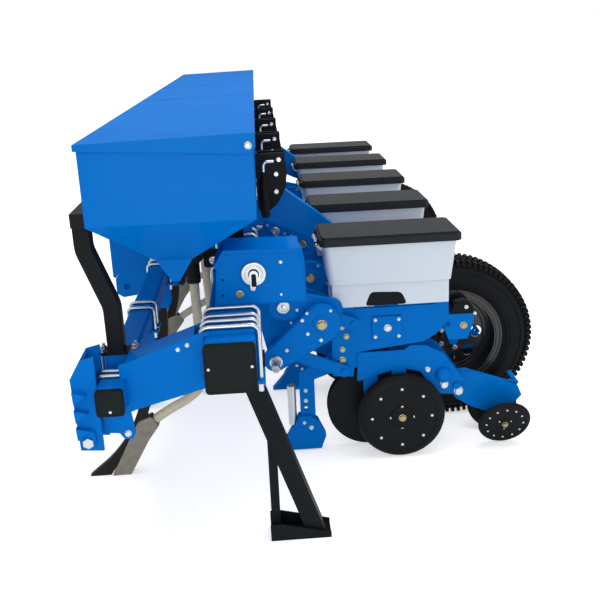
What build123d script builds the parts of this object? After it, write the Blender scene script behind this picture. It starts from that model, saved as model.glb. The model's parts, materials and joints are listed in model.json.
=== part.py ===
"""Five-row pneumatic seeder on a toolbar, parked on its two stands, in millimetres.

x points to the rear, y to the machine's right-hand side and z up. Outlines are given as
(x, z) points measured from the middle of the main beam and from the ground.
"""

import os
from math import cos, radians, sin, sqrt, tan

from build123d import *

os.makedirs("parts", exist_ok=True)

# Rows
ROWS = 5
ROW_PITCH = 600
ROW_Y = [(row - (ROWS - 1) / 2) * ROW_PITCH for row in range(ROWS)]
ROW_PLACES = [Location((0, row_y, 0)) for row_y in ROW_Y]
SIDES = (-1, 1)
RUN_GAP = 0.1
SEAT_GAP = 0.3

# Beams
BEAM_SIDE = 150
BEAM_WALL = 8
BEAM_CORNER = 14
BEAM_LENGTH = 4080
BEAM_Z = 717
FRONT_SIDE = 80
FRONT_WALL = 6
FRONT_CORNER = 10
FRONT_X = -348
FRONT_Z = 634
CAP_THICKNESS = 16
CAP_PLUG = 24
CAP_CLEARANCE = 1
BEAM_TOP = BEAM_Z + BEAM_SIDE / 2
BEAM_BOTTOM = BEAM_Z - BEAM_SIDE / 2
BEAM_REAR = BEAM_SIDE / 2
FRONT_TOP = FRONT_Z + FRONT_SIDE / 2
FRONT_BOTTOM = FRONT_Z - FRONT_SIDE / 2
FRONT_FACE = FRONT_X - FRONT_SIDE / 2
FRONT_REAR = FRONT_X + FRONT_SIDE / 2

# Ground wheels
TYRE_RADIUS = 345
TYRE_WIDTH = 166
LUG_HEIGHT = 14
LUGS = 28
RIM_RADIUS = 195
HUB_RADIUS = 46
AXLE_RADIUS = 20
WHEEL_X = 890
WHEEL_Y = 900

# Place of the machine: the middle of its length lies over the origin
FRONT_REACH = 610
REAR_REACH = WHEEL_X + TYRE_RADIUS
BEAM_X = (FRONT_REACH - REAR_REACH) / 2

# Clamps
U_ROD = 8
CLAMP_PLATE = 10
U_REACH = BEAM_SIDE / 2 + U_ROD + SEAT_GAP
FRONT_U_ROD = 6
FRONT_U_REACH = FRONT_SIDE / 2 + FRONT_U_ROD + SEAT_GAP

# Fertiliser hopper
HOPPER_HALF = 1932
HOPPER_FRONT = -384
HOPPER_REAR = 99
HOPPER_RIM = 1340
HOPPER_FOLD = 1118
FUNNEL_Z = 978
FUNNEL_FRONT = -212
FUNNEL_REAR = -104
FUNNEL_HALF = 1800
TROUGH_X = -158
TROUGH_Z = 910
HOPPER_WALL = 3
LID_OVERHANG = 8
LID_SHEET = 2
LID_FRONT_Z = 1352
LID_REAR_Z = 1363
LID_SEAM = 437
LID_SEAM_GAP = 10
LID_PIN_X = 82
LID_PIN_Z = 1328
LID_PIN_RADIUS = 8
LID_EAR = 6
LID_NOTCH = 7

# Row units
SEED_TOP = 880
SEED_STEP = 712
SEED_FLOOR = 622
SEED_WALL = 4
SEED_FRONT = 328
SEED_REAR = 828
SEED_HALF = 116
SEED_LID_TOP = 900
SEED_LID_RIM = 866
SEED_LID_WALL = 6
SEED_LID_CLEARANCE = 6
SEED_HINGE_X = 306
SEED_HINGE_Z = 868
SEED_PIN_RADIUS = 4
UNIT_PLATE = 8
UNIT_HALF = 60
LINK_HALF = 92
LINK_PLATE = 12
UPPER_PIVOT = (172, 665)
LOWER_PIVOT = (132, 475)
LINK_RUN = (262, -110)
PIVOT_RADIUS = 12
DISC_X = 500
DISC_Z = 182
DISC_AXLE = 14
DISC_RADIUS = 170
DISC_PLATE = 4
DISC_HALF = 16
GAUGE_X = 611
GAUGE_RADIUS = 172
GAUGE_WIDTH = 58
GAUGE_HALF = 106
GAUGE_AXLE = 12
PRESS_X = 1026
PRESS_RADIUS = 105
PRESS_WIDTH = 26
PRESS_HALF = 92
PRESS_TILT = 20
PRESS_AXLE = 8
PRESS_Z = PRESS_RADIUS * cos(radians(PRESS_TILT)) + PRESS_WIDTH / 2 * sin(radians(PRESS_TILT))


def side(y):
    """Upright plane along the line of travel, with x and z as the sketch's own axes."""
    return Plane(origin=(BEAM_X, y, 0), x_dir=(1, 0, 0), z_dir=(0, -1, 0))


def level(z):
    """Level plane at height z, with x and y as the sketch's own axes."""
    return Plane(origin=(BEAM_X, 0, z), x_dir=(1, 0, 0), z_dir=(0, 0, 1))


def plate(outline, y, thickness, mode=Mode.ADD):
    """Flat plate centred on y, cut to an outline of (x, z) points."""
    with BuildSketch(side(y)) as profile:
        with BuildLine():
            Polyline(*outline, close=True)
        make_face()
    extrude(profile.sketch, amount=thickness / 2, both=True, mode=mode)


def pin(centre, y, radius, length, mode=Mode.ADD):
    """Round pin, boss or bore along y, centred on y."""
    with BuildSketch(side(y)) as profile:
        with Locations(centre):
            Circle(radius)
    extrude(profile.sketch, amount=length / 2, both=True, mode=mode)


def link(start, end, y, start_radius, end_radius, thickness, mode=Mode.ADD):
    """Flat link with two round ends."""
    with BuildSketch(side(y)) as profile:
        with Locations(start):
            Circle(start_radius)
        with Locations(end):
            Circle(end_radius)
        make_hull()
    extrude(profile.sketch, amount=thickness / 2, both=True, mode=mode)


def block(x_span, y_span, z_span, mode=Mode.ADD):
    """Block between two values on each axis."""
    middle = [(low + high) / 2 for low, high in (x_span, y_span, z_span)]
    size = [high - low for low, high in (x_span, y_span, z_span)]
    with Locations((BEAM_X + middle[0], middle[1], middle[2])):
        Box(*size, mode=mode)


def turned(outline, x, y, z, tilt=0, mode=Mode.ADD):
    """Ring turned about an axle along y, tilted towards z, from (along axle, radius) points."""
    axle = (0, cos(radians(tilt)), sin(radians(tilt)))
    section = Plane(origin=(BEAM_X + x, y, z), x_dir=axle, z_dir=(1, 0, 0))
    with BuildSketch(section) as profile:
        with BuildLine():
            Polyline(*outline, close=True)
        make_face()
    revolve(profile.sketch, axis=Axis(section.origin, axle), mode=mode)


def square_tube(outer, wall, corner, x, z, length):
    """Square tube along y."""
    with BuildSketch(side(0)) as profile:
        with Locations((x, z)):
            RectangleRounded(outer, outer, corner)
            RectangleRounded(outer - 2 * wall, outer - 2 * wall, corner - wall, mode=Mode.SUBTRACT)
    extrude(profile.sketch, amount=length / 2, both=True)


def clamp_plate(y, half, z):
    """Plate across the main beam that its U-bolts pull against, with its underside at z."""
    block((-U_REACH - 14, U_REACH + 14), (y - half, y + half), (z, z + CLAMP_PLATE))


def leg_holes(y, z):
    """Two holes for a U-bolt's legs through a plate near height z."""
    for x in (-U_REACH, U_REACH):
        with Locations((BEAM_X + x, y, z)):
            Cylinder(U_ROD + SEAT_GAP, 60, mode=Mode.SUBTRACT)


# Main beam and front beam
with BuildPart() as main_beam:
    square_tube(BEAM_SIDE, BEAM_WALL, BEAM_CORNER, 0, BEAM_Z, BEAM_LENGTH)
main_beam.part.label = "main_beam"
export_step(main_beam.part, "parts/main_beam.step")

# Plastic caps: a plug in the tube and a raised plate over its end
with BuildPart() as beam_caps:
    for x, z, outer, wall, corner in (
        (0, BEAM_Z, BEAM_SIDE, BEAM_WALL, BEAM_CORNER),
        (FRONT_X, FRONT_Z, FRONT_SIDE, FRONT_WALL, FRONT_CORNER),
    ):
        plug = outer - 2 * wall - 2 * CAP_CLEARANCE
        for end in SIDES:
            with BuildSketch(side(end * BEAM_LENGTH / 2)) as cover:
                with Locations((x, z)):
                    RectangleRounded(outer, outer, corner)
            extrude(cover.sketch, amount=-end * CAP_THICKNESS)
            with BuildSketch(side(end * BEAM_LENGTH / 2)) as spigot:
                with Locations((x, z)):
                    RectangleRounded(plug, plug, corner - wall)
            extrude(spigot.sketch, amount=end * CAP_PLUG)
beam_caps.part.label = "beam_caps"
export_step(beam_caps.part, "parts/beam_caps.step")

# Front beam with the arms welded to it, which clamp on the main beam
ARM_Y = (-1930, -370, 370, 1930)
ARM_WIDTH = 100
ARM_PLATE = 10
ARM_BOLT_HALF = 26
ARM_OUTLINE = [
    (FRONT_REAR, FRONT_TOP + 49),
    (-84, BEAM_TOP + CLAMP_PLATE),
    (BEAM_REAR - 5, BEAM_TOP + CLAMP_PLATE),
    (BEAM_REAR - 5, BEAM_TOP),
    (-BEAM_REAR, BEAM_TOP),
    (-BEAM_REAR, BEAM_BOTTOM - CLAMP_PLATE),
    (FRONT_REAR, FRONT_Z - 63),
]
ARM_TOP_SHEET = [
    (FRONT_REAR, FRONT_TOP + 49),
    (-104, BEAM_TOP + 3),
    (-104, BEAM_TOP - 7),
    (FRONT_REAR, FRONT_TOP + 39),
]
ARM_BOTTOM_SHEET = [
    (FRONT_REAR + 23, FRONT_Z - 57),
    (-112, BEAM_BOTTOM - 20),
    (-112, BEAM_BOTTOM - 10),
    (FRONT_REAR + 23, FRONT_Z - 47),
]
ARM_NOSE = [
    (FRONT_REAR - 18, FRONT_TOP),
    (FRONT_REAR - 18, FRONT_TOP + 45),
    (FRONT_REAR, FRONT_TOP + 49),
    (FRONT_REAR, FRONT_TOP),
]
ARM_LUG = [
    (FRONT_FACE, FRONT_BOTTOM),
    (FRONT_REAR, FRONT_BOTTOM),
    (FRONT_REAR + 6, 545),
    (-297, 502),
    (-306, 484),
    (-330, 484),
    (-344, 504),
    (FRONT_FACE, 508),
]
END_BOLT_Y = 1942
END_BOLT_HALF = 18
POST_Y = (-1850, -600, 600, 1850)
POST_STEP = 38
ARM_LIP = [
    (-66, BEAM_TOP),
    (BEAM_REAR - 5, BEAM_TOP),
    (BEAM_REAR - 5, BEAM_TOP + CLAMP_PLATE),
    (-66, BEAM_TOP + CLAMP_PLATE),
]
with BuildPart() as front_beam:
    square_tube(FRONT_SIDE, FRONT_WALL, FRONT_CORNER, FRONT_X, FRONT_Z, BEAM_LENGTH)
    for y in ARM_Y:
        for end in SIDES:
            plate(ARM_OUTLINE, y + end * (ARM_WIDTH - ARM_PLATE) / 2, ARM_PLATE)
        outer_y = y + y / abs(y) * (ARM_WIDTH - ARM_PLATE) / 2
        plate(ARM_NOSE, outer_y, ARM_PLATE)
        plate(ARM_LUG, outer_y, ARM_PLATE)
        for sheet in (ARM_TOP_SHEET, ARM_BOTTOM_SHEET, ARM_LIP):
            plate(sheet, y, ARM_WIDTH)
        clamp_plate(y, ARM_WIDTH / 2, BEAM_BOTTOM - CLAMP_PLATE)
        for offset in (-ARM_BOLT_HALF, ARM_BOLT_HALF):
            leg_holes(y + offset, BEAM_BOTTOM)
    for end in SIDES:
        low, high = FRONT_BOTTOM - CLAMP_PLATE, FRONT_BOTTOM
        block((FRONT_X - 60, FRONT_X + 60), (end * END_BOLT_Y - 26, end * END_BOLT_Y + 26), (low, high))
        for offset in (-END_BOLT_HALF, END_BOLT_HALF):
            for x in (FRONT_X - FRONT_U_REACH, FRONT_X + FRONT_U_REACH):
                with Locations((BEAM_X + x, end * END_BOLT_Y + offset, FRONT_BOTTOM)):
                    Cylinder(FRONT_U_ROD + SEAT_GAP, 30, mode=Mode.SUBTRACT)
    for y in POST_Y:
        block((FRONT_X - 34, FRONT_X + 46), (y - 26, y + 26), (FRONT_TOP, FRONT_TOP + POST_STEP))
front_beam.part.label = "front_beam"
export_step(front_beam.part, "parts/front_beam.step")

# Parking stands, clamped under the main beam
STAND_Y = 1790
STAND_TUBE = 62
STAND_WALL = 5
STAND_TOP_X = 30
STAND_FOOT_X = 238
STAND_FOOT = (83, 285)
STAND_FOOT_WIDTH = 90
STAND_FOOT_HEIGHT = 60
STAND_FOOT_WALL = 6
STAND_PLATE_HALF = 65
STAND_BOLT_HALF = 38
with BuildPart() as parking_stands:
    for end in SIDES:
        y = end * STAND_Y
        clamp_plate(y, STAND_PLATE_HALF, BEAM_BOTTOM - CLAMP_PLATE)
        for offset in (-STAND_BOLT_HALF, STAND_BOLT_HALF):
            leg_holes(y + offset, BEAM_BOTTOM - CLAMP_PLATE / 2)
        half = STAND_TUBE / 2
        leg = [
            (STAND_TOP_X - half, BEAM_BOTTOM - CLAMP_PLATE),
            (STAND_TOP_X + half, BEAM_BOTTOM - CLAMP_PLATE),
            (STAND_FOOT_X + half, STAND_FOOT_WALL),
            (STAND_FOOT_X - half, STAND_FOOT_WALL),
        ]
        plate(leg, y, STAND_TUBE)
        bore = [
            (STAND_TOP_X - half + STAND_WALL, BEAM_BOTTOM - CLAMP_PLATE),
            (STAND_TOP_X + half - STAND_WALL, BEAM_BOTTOM - CLAMP_PLATE),
            (STAND_FOOT_X + half - STAND_WALL, STAND_FOOT_WALL),
            (STAND_FOOT_X - half + STAND_WALL, STAND_FOOT_WALL),
        ]
        plate(bore, y, STAND_TUBE - 2 * STAND_WALL, mode=Mode.SUBTRACT)
        foot_half = STAND_FOOT_WIDTH / 2
        block(STAND_FOOT, (y - foot_half, y + foot_half), (0, STAND_FOOT_WALL))
        for wall_y in (y - foot_half + STAND_FOOT_WALL / 2, y + foot_half - STAND_FOOT_WALL / 2):
            cheek = [
                (STAND_FOOT[0], 0),
                (STAND_FOOT[1], 0),
                (STAND_FOOT[1], 18),
                (STAND_FOOT[0] + 40, STAND_FOOT_HEIGHT),
                (STAND_FOOT[0], STAND_FOOT_HEIGHT),
            ]
            plate(cheek, wall_y, STAND_FOOT_WALL)
        strut = [(88, 0), (118, 0), (118, 330), (108, 356), (88, 356 + 54)]
        plate(strut, y, 30)
parking_stands.part.label = "parking_stands"
export_step(parking_stands.part, "parts/parking_stands.step")

# Three-point headstock on the front beam
LOWER_HITCH = (-540, 500)
LOWER_HITCH_Y = 400
LOWER_BORE = 14.25
UPPER_HITCH = (-560, 1110)
UPPER_HITCH_HALF = 32
UPPER_BORE = 12.75
MAST_Y = 150
MAST_PLATE = 14
with BuildPart() as headstock:
    for end in SIDES:
        for offset in (-38, 38):
            y = end * LOWER_HITCH_Y + offset
            cheek = [
                (FRONT_FACE, FRONT_BOTTOM - 60),
                (FRONT_FACE, FRONT_TOP + 70),
                (-420, FRONT_TOP + 70),
                (-560, 590),
                (-590, 540),
                (-590, 470),
                (-560, 450),
                (-480, 460),
            ]
            plate(cheek, y, MAST_PLATE)
        back = (end * LOWER_HITCH_Y - 45, end * LOWER_HITCH_Y + 45)
        block((FRONT_FACE - 12, FRONT_FACE), back, (FRONT_BOTTOM - 60, FRONT_TOP + 70))
        pin(LOWER_HITCH, end * LOWER_HITCH_Y, LOWER_BORE, 140, mode=Mode.SUBTRACT)
        mast = [
            (FRONT_FACE, FRONT_BOTTOM - 20),
            (FRONT_FACE, FRONT_TOP + 60),
            (-430, 900),
            (-520, 1150),
            (-570, 1165),
            (-600, 1130),
            (-600, 1080),
            (-480, FRONT_TOP),
            (-470, FRONT_BOTTOM - 20),
        ]
        plate(mast, end * (UPPER_HITCH_HALF + MAST_PLATE / 2), MAST_PLATE)
    pin(UPPER_HITCH, 0, UPPER_BORE, 4 * UPPER_HITCH_HALF, mode=Mode.SUBTRACT)
    block((-470, FRONT_FACE), (-UPPER_HITCH_HALF, UPPER_HITCH_HALF), (FRONT_BOTTOM, FRONT_TOP))
headstock.part.label = "headstock"
export_step(headstock.part, "parts/headstock.step")

# Fertiliser hopper: an open box over a sloped funnel and a V trough
RIM_SLOPE = (LID_REAR_Z - LID_FRONT_Z) / (HOPPER_REAR - HOPPER_FRONT + 2 * LID_OVERHANG)


def lid_under(x):
    """Height of the underside of the hopper's lid above the point x."""
    return LID_FRONT_Z + (x - HOPPER_FRONT + LID_OVERHANG) * RIM_SLOPE - LID_SHEET


LID_FRONT = HOPPER_FRONT - LID_OVERHANG
LID_REAR = HOPPER_REAR + LID_OVERHANG
LID_END = HOPPER_HALF + LID_OVERHANG
LID_TOP_OUTLINE = [
    (LID_FRONT, LID_FRONT_Z),
    (LID_REAR, LID_REAR_Z),
    (LID_REAR, LID_REAR_Z - 9),
    (LID_REAR - LID_SHEET, LID_REAR_Z - 9),
    (LID_REAR - LID_SHEET, lid_under(LID_REAR - LID_SHEET)),
    (LID_FRONT + LID_SHEET, lid_under(LID_FRONT + LID_SHEET)),
    (LID_FRONT + LID_SHEET, LID_FRONT_Z - 18),
    (LID_FRONT, LID_FRONT_Z - 18),
]
LID_SKIRT = [
    (LID_FRONT, LID_FRONT_Z),
    (LID_REAR, LID_REAR_Z),
    (LID_REAR, LID_REAR_Z - 40),
    (LID_REAR - 16, LID_REAR_Z - 57),
    (LID_FRONT, LID_FRONT_Z - 18),
]


def hopper_form(inset, top, mode):
    """The hopper's outer form, or with an inset the space inside it."""
    box = (
        (HOPPER_FRONT + inset, HOPPER_REAR - inset),
        (inset - HOPPER_HALF, HOPPER_HALF - inset),
    )
    block(box[0], box[1], (HOPPER_FOLD, top), mode=mode)
    with BuildSketch(level(HOPPER_FOLD)) as mouth:
        with Locations(((HOPPER_FRONT + HOPPER_REAR) / 2, 0)):
            Rectangle(HOPPER_REAR - HOPPER_FRONT - 2 * inset, 2 * (HOPPER_HALF - inset))
    with BuildSketch(level(FUNNEL_Z)) as throat:
        with Locations(((FUNNEL_FRONT + FUNNEL_REAR) / 2, 0)):
            Rectangle(FUNNEL_REAR - FUNNEL_FRONT - 2 * inset, 2 * (FUNNEL_HALF - inset))
    loft([mouth.sketch, throat.sketch], mode=mode)
    trough = [
        (FUNNEL_FRONT + inset, FUNNEL_Z),
        (FUNNEL_REAR - inset, FUNNEL_Z),
        (TROUGH_X + 12, TROUGH_Z + inset * 1.5),
        (TROUGH_X - 12, TROUGH_Z + inset * 1.5),
    ]
    plate(trough, 0, 2 * (FUNNEL_HALF - inset), mode=mode)


with BuildPart() as fertiliser_hopper:
    hopper_form(0, LID_REAR_Z, Mode.ADD)
    hopper_form(HOPPER_WALL, LID_REAR_Z, Mode.SUBTRACT)
    rim_cut = [
        (HOPPER_FRONT - 20, lid_under(HOPPER_FRONT - 20) - SEAT_GAP),
        (LID_PIN_X - 20, lid_under(LID_PIN_X - 20) - SEAT_GAP),
        (LID_PIN_X - 6, HOPPER_RIM),
        (HOPPER_REAR + 20, HOPPER_RIM),
        (HOPPER_REAR + 20, LID_REAR_Z + 20),
        (HOPPER_FRONT - 20, LID_REAR_Z + 20),
    ]
    plate(rim_cut, 0, 2 * HOPPER_HALF + 20, mode=Mode.SUBTRACT)
    for end in SIDES:
        pin((LID_PIN_X, LID_PIN_Z), end * (HOPPER_HALF + 5), LID_PIN_RADIUS, 16)
        inner_y = LID_SEAM + LID_SEAM_GAP / 2 + LID_EAR + 22
        ear_y = end * (inner_y - LID_EAR / 2 - 16)
        notch_y = (ear_y - LID_EAR / 2 - LID_NOTCH, ear_y + LID_EAR / 2 + LID_NOTCH)
        notch_x = (HOPPER_REAR - HOPPER_WALL - 1, HOPPER_REAR + 1)
        block(notch_x, notch_y, (LID_PIN_Z - 11 - LID_NOTCH, LID_REAR_Z), mode=Mode.SUBTRACT)
        pin((LID_PIN_X, LID_PIN_Z), end * (inner_y - 5), LID_PIN_RADIUS, 38)
        ear = [
            (LID_PIN_X - 14, LID_PIN_Z - 14),
            (HOPPER_REAR - HOPPER_WALL, LID_PIN_Z - 34),
            (HOPPER_REAR - HOPPER_WALL, LID_PIN_Z + 10),
            (LID_PIN_X - 14, LID_PIN_Z + 10),
        ]
        plate(ear, end * (inner_y + 11), 6)
    plate(LID_TOP_OUTLINE, 0, 2 * LID_SEAM - LID_SEAM_GAP)
    for x in (HOPPER_FRONT, HOPPER_REAR - HOPPER_WALL):
        block(
            (x, x + HOPPER_WALL),
            (LID_SEAM_GAP / 2 - LID_SEAM, LID_SEAM - LID_SEAM_GAP / 2),
            (HOPPER_FOLD, lid_under(x) + 0.5),
        )
fertiliser_hopper.part.label = "fertiliser_hopper"
export_step(fertiliser_hopper.part, "parts/fertiliser_hopper.step")

# Long hopper lids, which turn on bolts near their rear edge
for end, name in ((-1, "hopper_lid_left"), (1, "hopper_lid_right")):
    with BuildPart() as hopper_lid:
        inner = LID_SEAM + LID_SEAM_GAP / 2
        plate(LID_TOP_OUTLINE, end * (inner + LID_END) / 2, LID_END - inner)
        plate(LID_SKIRT, end * (LID_END - LID_SHEET / 2), LID_SHEET)
        ear_y = end * (inner + LID_EAR / 2 + 6)
        plate(
            [
                (LID_PIN_X - 11, LID_PIN_Z),
                (LID_PIN_X + 11, LID_PIN_Z),
                (LID_PIN_X + 11, lid_under(LID_PIN_X) + 1),
                (LID_PIN_X - 11, lid_under(LID_PIN_X) + 1),
            ],
            ear_y,
            LID_EAR,
        )
        pin((LID_PIN_X, LID_PIN_Z), ear_y, 11, LID_EAR)
        pin((LID_PIN_X, LID_PIN_Z), ear_y, LID_PIN_RADIUS + RUN_GAP, LID_EAR, mode=Mode.SUBTRACT)
        pin(
            (LID_PIN_X, LID_PIN_Z),
            end * (LID_END - LID_SHEET / 2),
            LID_PIN_RADIUS + RUN_GAP,
            LID_SHEET,
            mode=Mode.SUBTRACT,
        )
    hopper_lid.part.label = name
    export_step(hopper_lid.part, f"parts/{name}.step")

# Black tube posts that carry the hopper, and the rail along its front
POST_TUBE = 50
POST_BEND = 90
RAIL_TUBE = 40
RAIL_Z = 1140
RAIL_X = HOPPER_FRONT - RAIL_TUBE / 2
REAR_POST_Y = (-1440, -220, 220, 1440)
REAR_POST_X = 22

LATCH_OUTLINE = [
    (HOPPER_REAR, HOPPER_FOLD),
    (130, 1060),
    (172, 1048),
    (204, 1090),
    (208, 1206),
    (HOPPER_REAR, 1206),
]


def funnel_height(x):
    """Height of the funnel's sloped rear sheet above the point x."""
    share = (x - FUNNEL_REAR) / (HOPPER_REAR - FUNNEL_REAR)
    return FUNNEL_Z + share * (HOPPER_FOLD - FUNNEL_Z)


with BuildPart() as hopper_posts:
    for y in POST_Y:
        foot_top = FRONT_TOP + POST_STEP + CLAMP_PLATE
        bend_points = [
            (FRONT_X, foot_top),
            (FRONT_X, 862),
            (HOPPER_FRONT - POST_TUBE / 2 - 1, 1040),
            (HOPPER_FRONT - POST_TUBE / 2 - 1, RAIL_Z - RAIL_TUBE / 2),
        ]
        with BuildLine() as post_line:
            FilletPolyline(*[(BEAM_X + x, y, z) for x, z in bend_points], radius=POST_BEND)
        with BuildSketch(Plane(origin=post_line.line @ 0, z_dir=post_line.line % 0)):
            RectangleRounded(POST_TUBE, POST_TUBE, 5)
        sweep(path=post_line.line)
        block((FRONT_X - 50, FRONT_X + 62), (y - 27, y + 27), (foot_top - CLAMP_PLATE, foot_top))
    block(
        (RAIL_X - RAIL_TUBE / 2, RAIL_X + RAIL_TUBE / 2),
        (-HOPPER_HALF, HOPPER_HALF),
        (RAIL_Z - RAIL_TUBE / 2, RAIL_Z + RAIL_TUBE / 2),
    )
    for y in REAR_POST_Y:
        half = POST_TUBE / 2
        rear_post = [
            (REAR_POST_X - half, BEAM_TOP),
            (REAR_POST_X + half, BEAM_TOP),
            (REAR_POST_X + half, funnel_height(REAR_POST_X + half)),
            (REAR_POST_X - half, funnel_height(REAR_POST_X - half)),
        ]
        plate(rear_post, y, POST_TUBE)
    for row_y in ROW_Y:
        for y in (row_y - 34, row_y + 34):
            plate(LATCH_OUTLINE, y, 6)
        block((HOPPER_REAR, HOPPER_REAR + 8), (row_y - 37, row_y + 37), (HOPPER_FOLD, 1206))
        with Locations((BEAM_X + 165, row_y, 1125)):
            Cylinder(17, 150)
        block((HOPPER_REAR, 165), (row_y - 31, row_y + 31), (1150, 1158))
hopper_posts.part.label = "hopper_posts"
export_step(hopper_posts.part, "parts/hopper_posts.step")

# Fertiliser meters under the trough, with their shaft
METER_HALF = 45
METER_FRONT = -204
METER_REAR = -112
METER_BOTTOM = 812
SPOUT_RADIUS = 26
SPOUT_BOTTOM = 728
SHAFT_Z = 860
SHAFT_RADIUS = 11
with BuildPart() as fertiliser_meters:
    for y in ROW_Y:
        body = [
            (METER_FRONT, TROUGH_Z - 8),
            (TROUGH_X - 12, TROUGH_Z),
            (TROUGH_X + 12, TROUGH_Z),
            (METER_REAR, TROUGH_Z - 8),
            (METER_REAR, METER_BOTTOM + 20),
            (METER_REAR - 18, METER_BOTTOM),
            (METER_FRONT + 18, METER_BOTTOM),
            (METER_FRONT, METER_BOTTOM + 20),
        ]
        plate(body, y, 2 * METER_HALF)
        with BuildSketch(level(METER_BOTTOM)) as spout:
            with Locations((TROUGH_X, y)):
                Circle(SPOUT_RADIUS)
        extrude(spout.sketch, amount=SPOUT_BOTTOM - METER_BOTTOM)
    pin((TROUGH_X, SHAFT_Z), 0, SHAFT_RADIUS, 2 * 1640)
fertiliser_meters.part.label = "fertiliser_meters"
export_step(fertiliser_meters.part, "parts/fertiliser_meters.step")

# Fertiliser tines: a blue clamp, a curved dark shank and a worn boot with its tube
TINE_OFFSET = -100
TINE_HALF = 15
TINE_BOLT_HALF = 34
TINE_FLANGE = 50
TINE_Y = [y + TINE_OFFSET for y in ROW_Y]
with BuildPart() as row_tine_clamp:
    clamp = [
        (FRONT_FACE, FRONT_BOTTOM),
        (FRONT_REAR, FRONT_BOTTOM),
        (FRONT_REAR, FRONT_BOTTOM - 96),
        (FRONT_REAR - 12, FRONT_BOTTOM - 118),
        (FRONT_FACE + 24, FRONT_BOTTOM - 118),
        (FRONT_FACE, FRONT_BOTTOM - 80),
    ]
    for offset in (-TINE_HALF - 5, TINE_HALF + 5):
        plate(clamp, offset, 10)
    flange_x = (FRONT_X - FRONT_U_REACH - 12, FRONT_X + FRONT_U_REACH + 12)
    for low, high in ((-TINE_FLANGE, -TINE_HALF), (TINE_HALF, TINE_FLANGE)):
        block(flange_x, (low, high), (FRONT_BOTTOM - 8, FRONT_BOTTOM))
    for offset in (-TINE_BOLT_HALF, TINE_BOLT_HALF):
        for x in (FRONT_X - FRONT_U_REACH, FRONT_X + FRONT_U_REACH):
            with Locations((BEAM_X + x, offset, FRONT_BOTTOM)):
                Cylinder(FRONT_U_ROD + SEAT_GAP, 30, mode=Mode.SUBTRACT)

with BuildPart() as tine_clamps:
    with Locations(*[(0, y, 0) for y in TINE_Y]):
        add(row_tine_clamp.part)
tine_clamps.part.label = "tine_clamps"
export_step(tine_clamps.part, "parts/tine_clamps.step")

BOOT_LOW = (-326, 200)
BOOT_HIGH = (-352, 238)
with BuildPart() as fertiliser_tines:
    for y in TINE_Y:
        with BuildSketch(side(y)) as shank:
            with BuildLine():
                Polyline((-334, FRONT_BOTTOM), (-373, FRONT_BOTTOM), (-373, 430))
                ThreePointArc((-373, 430), (-406, 250), (-536, 60))
                Polyline((-536, 60), (-FRONT_REACH, 0), (-528, 0), (-482, 70))
                ThreePointArc((-482, 70), (-363, 250), (-334, 430))
                Line((-334, 430), (-334, FRONT_BOTTOM))
            make_face()
        extrude(shank.sketch, amount=TINE_HALF, both=True)
        boot = [(-520, 0), (-452, 0), (-372, 140), BOOT_LOW, BOOT_HIGH, (-400, 220), (-440, 150)]
        plate(boot, y, 44)
fertiliser_tines.part.label = "fertiliser_tines"
export_step(fertiliser_tines.part, "parts/fertiliser_tines.step")

# Fertiliser hoses, from each spout down to its boot
HOSE_RADIUS = 19
HOSE_END = (
    (BOOT_LOW[0] + BOOT_HIGH[0]) / 2 + 0.3,
    (BOOT_LOW[1] + BOOT_HIGH[1]) / 2 + 0.2,
)


def cord_line(points):
    """Straight runs joined by tangent arcs, each as large as its shorter run allows."""
    vectors = [Vector(*point) for point in points]
    bends = []
    for before, corner, after in zip(vectors, vectors[1:], vectors[2:]):
        turn = radians((corner - before).get_angle(after - corner))
        run = min((corner - before).length, (after - corner).length)
        bends.append(0.45 * run / tan(turn / 2))
    FilletPolyline(*vectors, radius=bends)


for number, (spout_y, boot_y) in enumerate(zip(ROW_Y, TINE_Y), 1):
    route = [
        (TROUGH_X, spout_y, SPOUT_BOTTOM - SEAT_GAP),
        (TROUGH_X, spout_y, 600),
        (-146, spout_y - 20, 430),
        (-150, spout_y - 60, 330),
        (-210, boot_y, 292),
        (HOSE_END[0] + 48, boot_y, HOSE_END[1] + 33),
        (HOSE_END[0], boot_y, HOSE_END[1]),
    ]
    with BuildPart() as hose:
        with BuildLine() as middle_line:
            cord_line([(BEAM_X + x, y, z) for x, y, z in route])
        with BuildSketch(Plane(origin=middle_line.line @ 0, z_dir=middle_line.line % 0)):
            Circle(HOSE_RADIUS)
        sweep(path=middle_line.line)
    hose.part.label = f"fertiliser_hose_{number}"
    export_step(hose.part, f"parts/fertiliser_hose_{number}.step")

# Marker brackets at the two ends of the front beam
MARKER_Y = 1955
MARKER_HALF = 50
with BuildPart() as marker_brackets:
    for end in SIDES:
        y = end * MARKER_Y
        cheek = [
            (FRONT_FACE, 760),
            (-430, 750),
            (-462, 696),
            (-455, 471),
            (FRONT_FACE, 466),
        ]
        for offset in (-MARKER_HALF, MARKER_HALF):
            plate(cheek, y + offset, 10)
        plate([(-430, 750), (-462, 696), (-455, 471), (-445, 471), (-452, 693), (-422, 744)], y, 110)
        for z in (662, 606, 550):
            gusset = [(-458, z), (-418, z - 12), (-456, z - 40)]
            plate(gusset, y + end * (MARKER_HALF + 14), 18)
        link((-428, 500), (-428, 520), y + end * (MARKER_HALF + 10), 22, 22, 10)
        pin((-428, 500), y, 11, 2 * MARKER_HALF + 44)
marker_brackets.part.label = "marker_brackets"
export_step(marker_brackets.part, "parts/marker_brackets.step")

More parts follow.
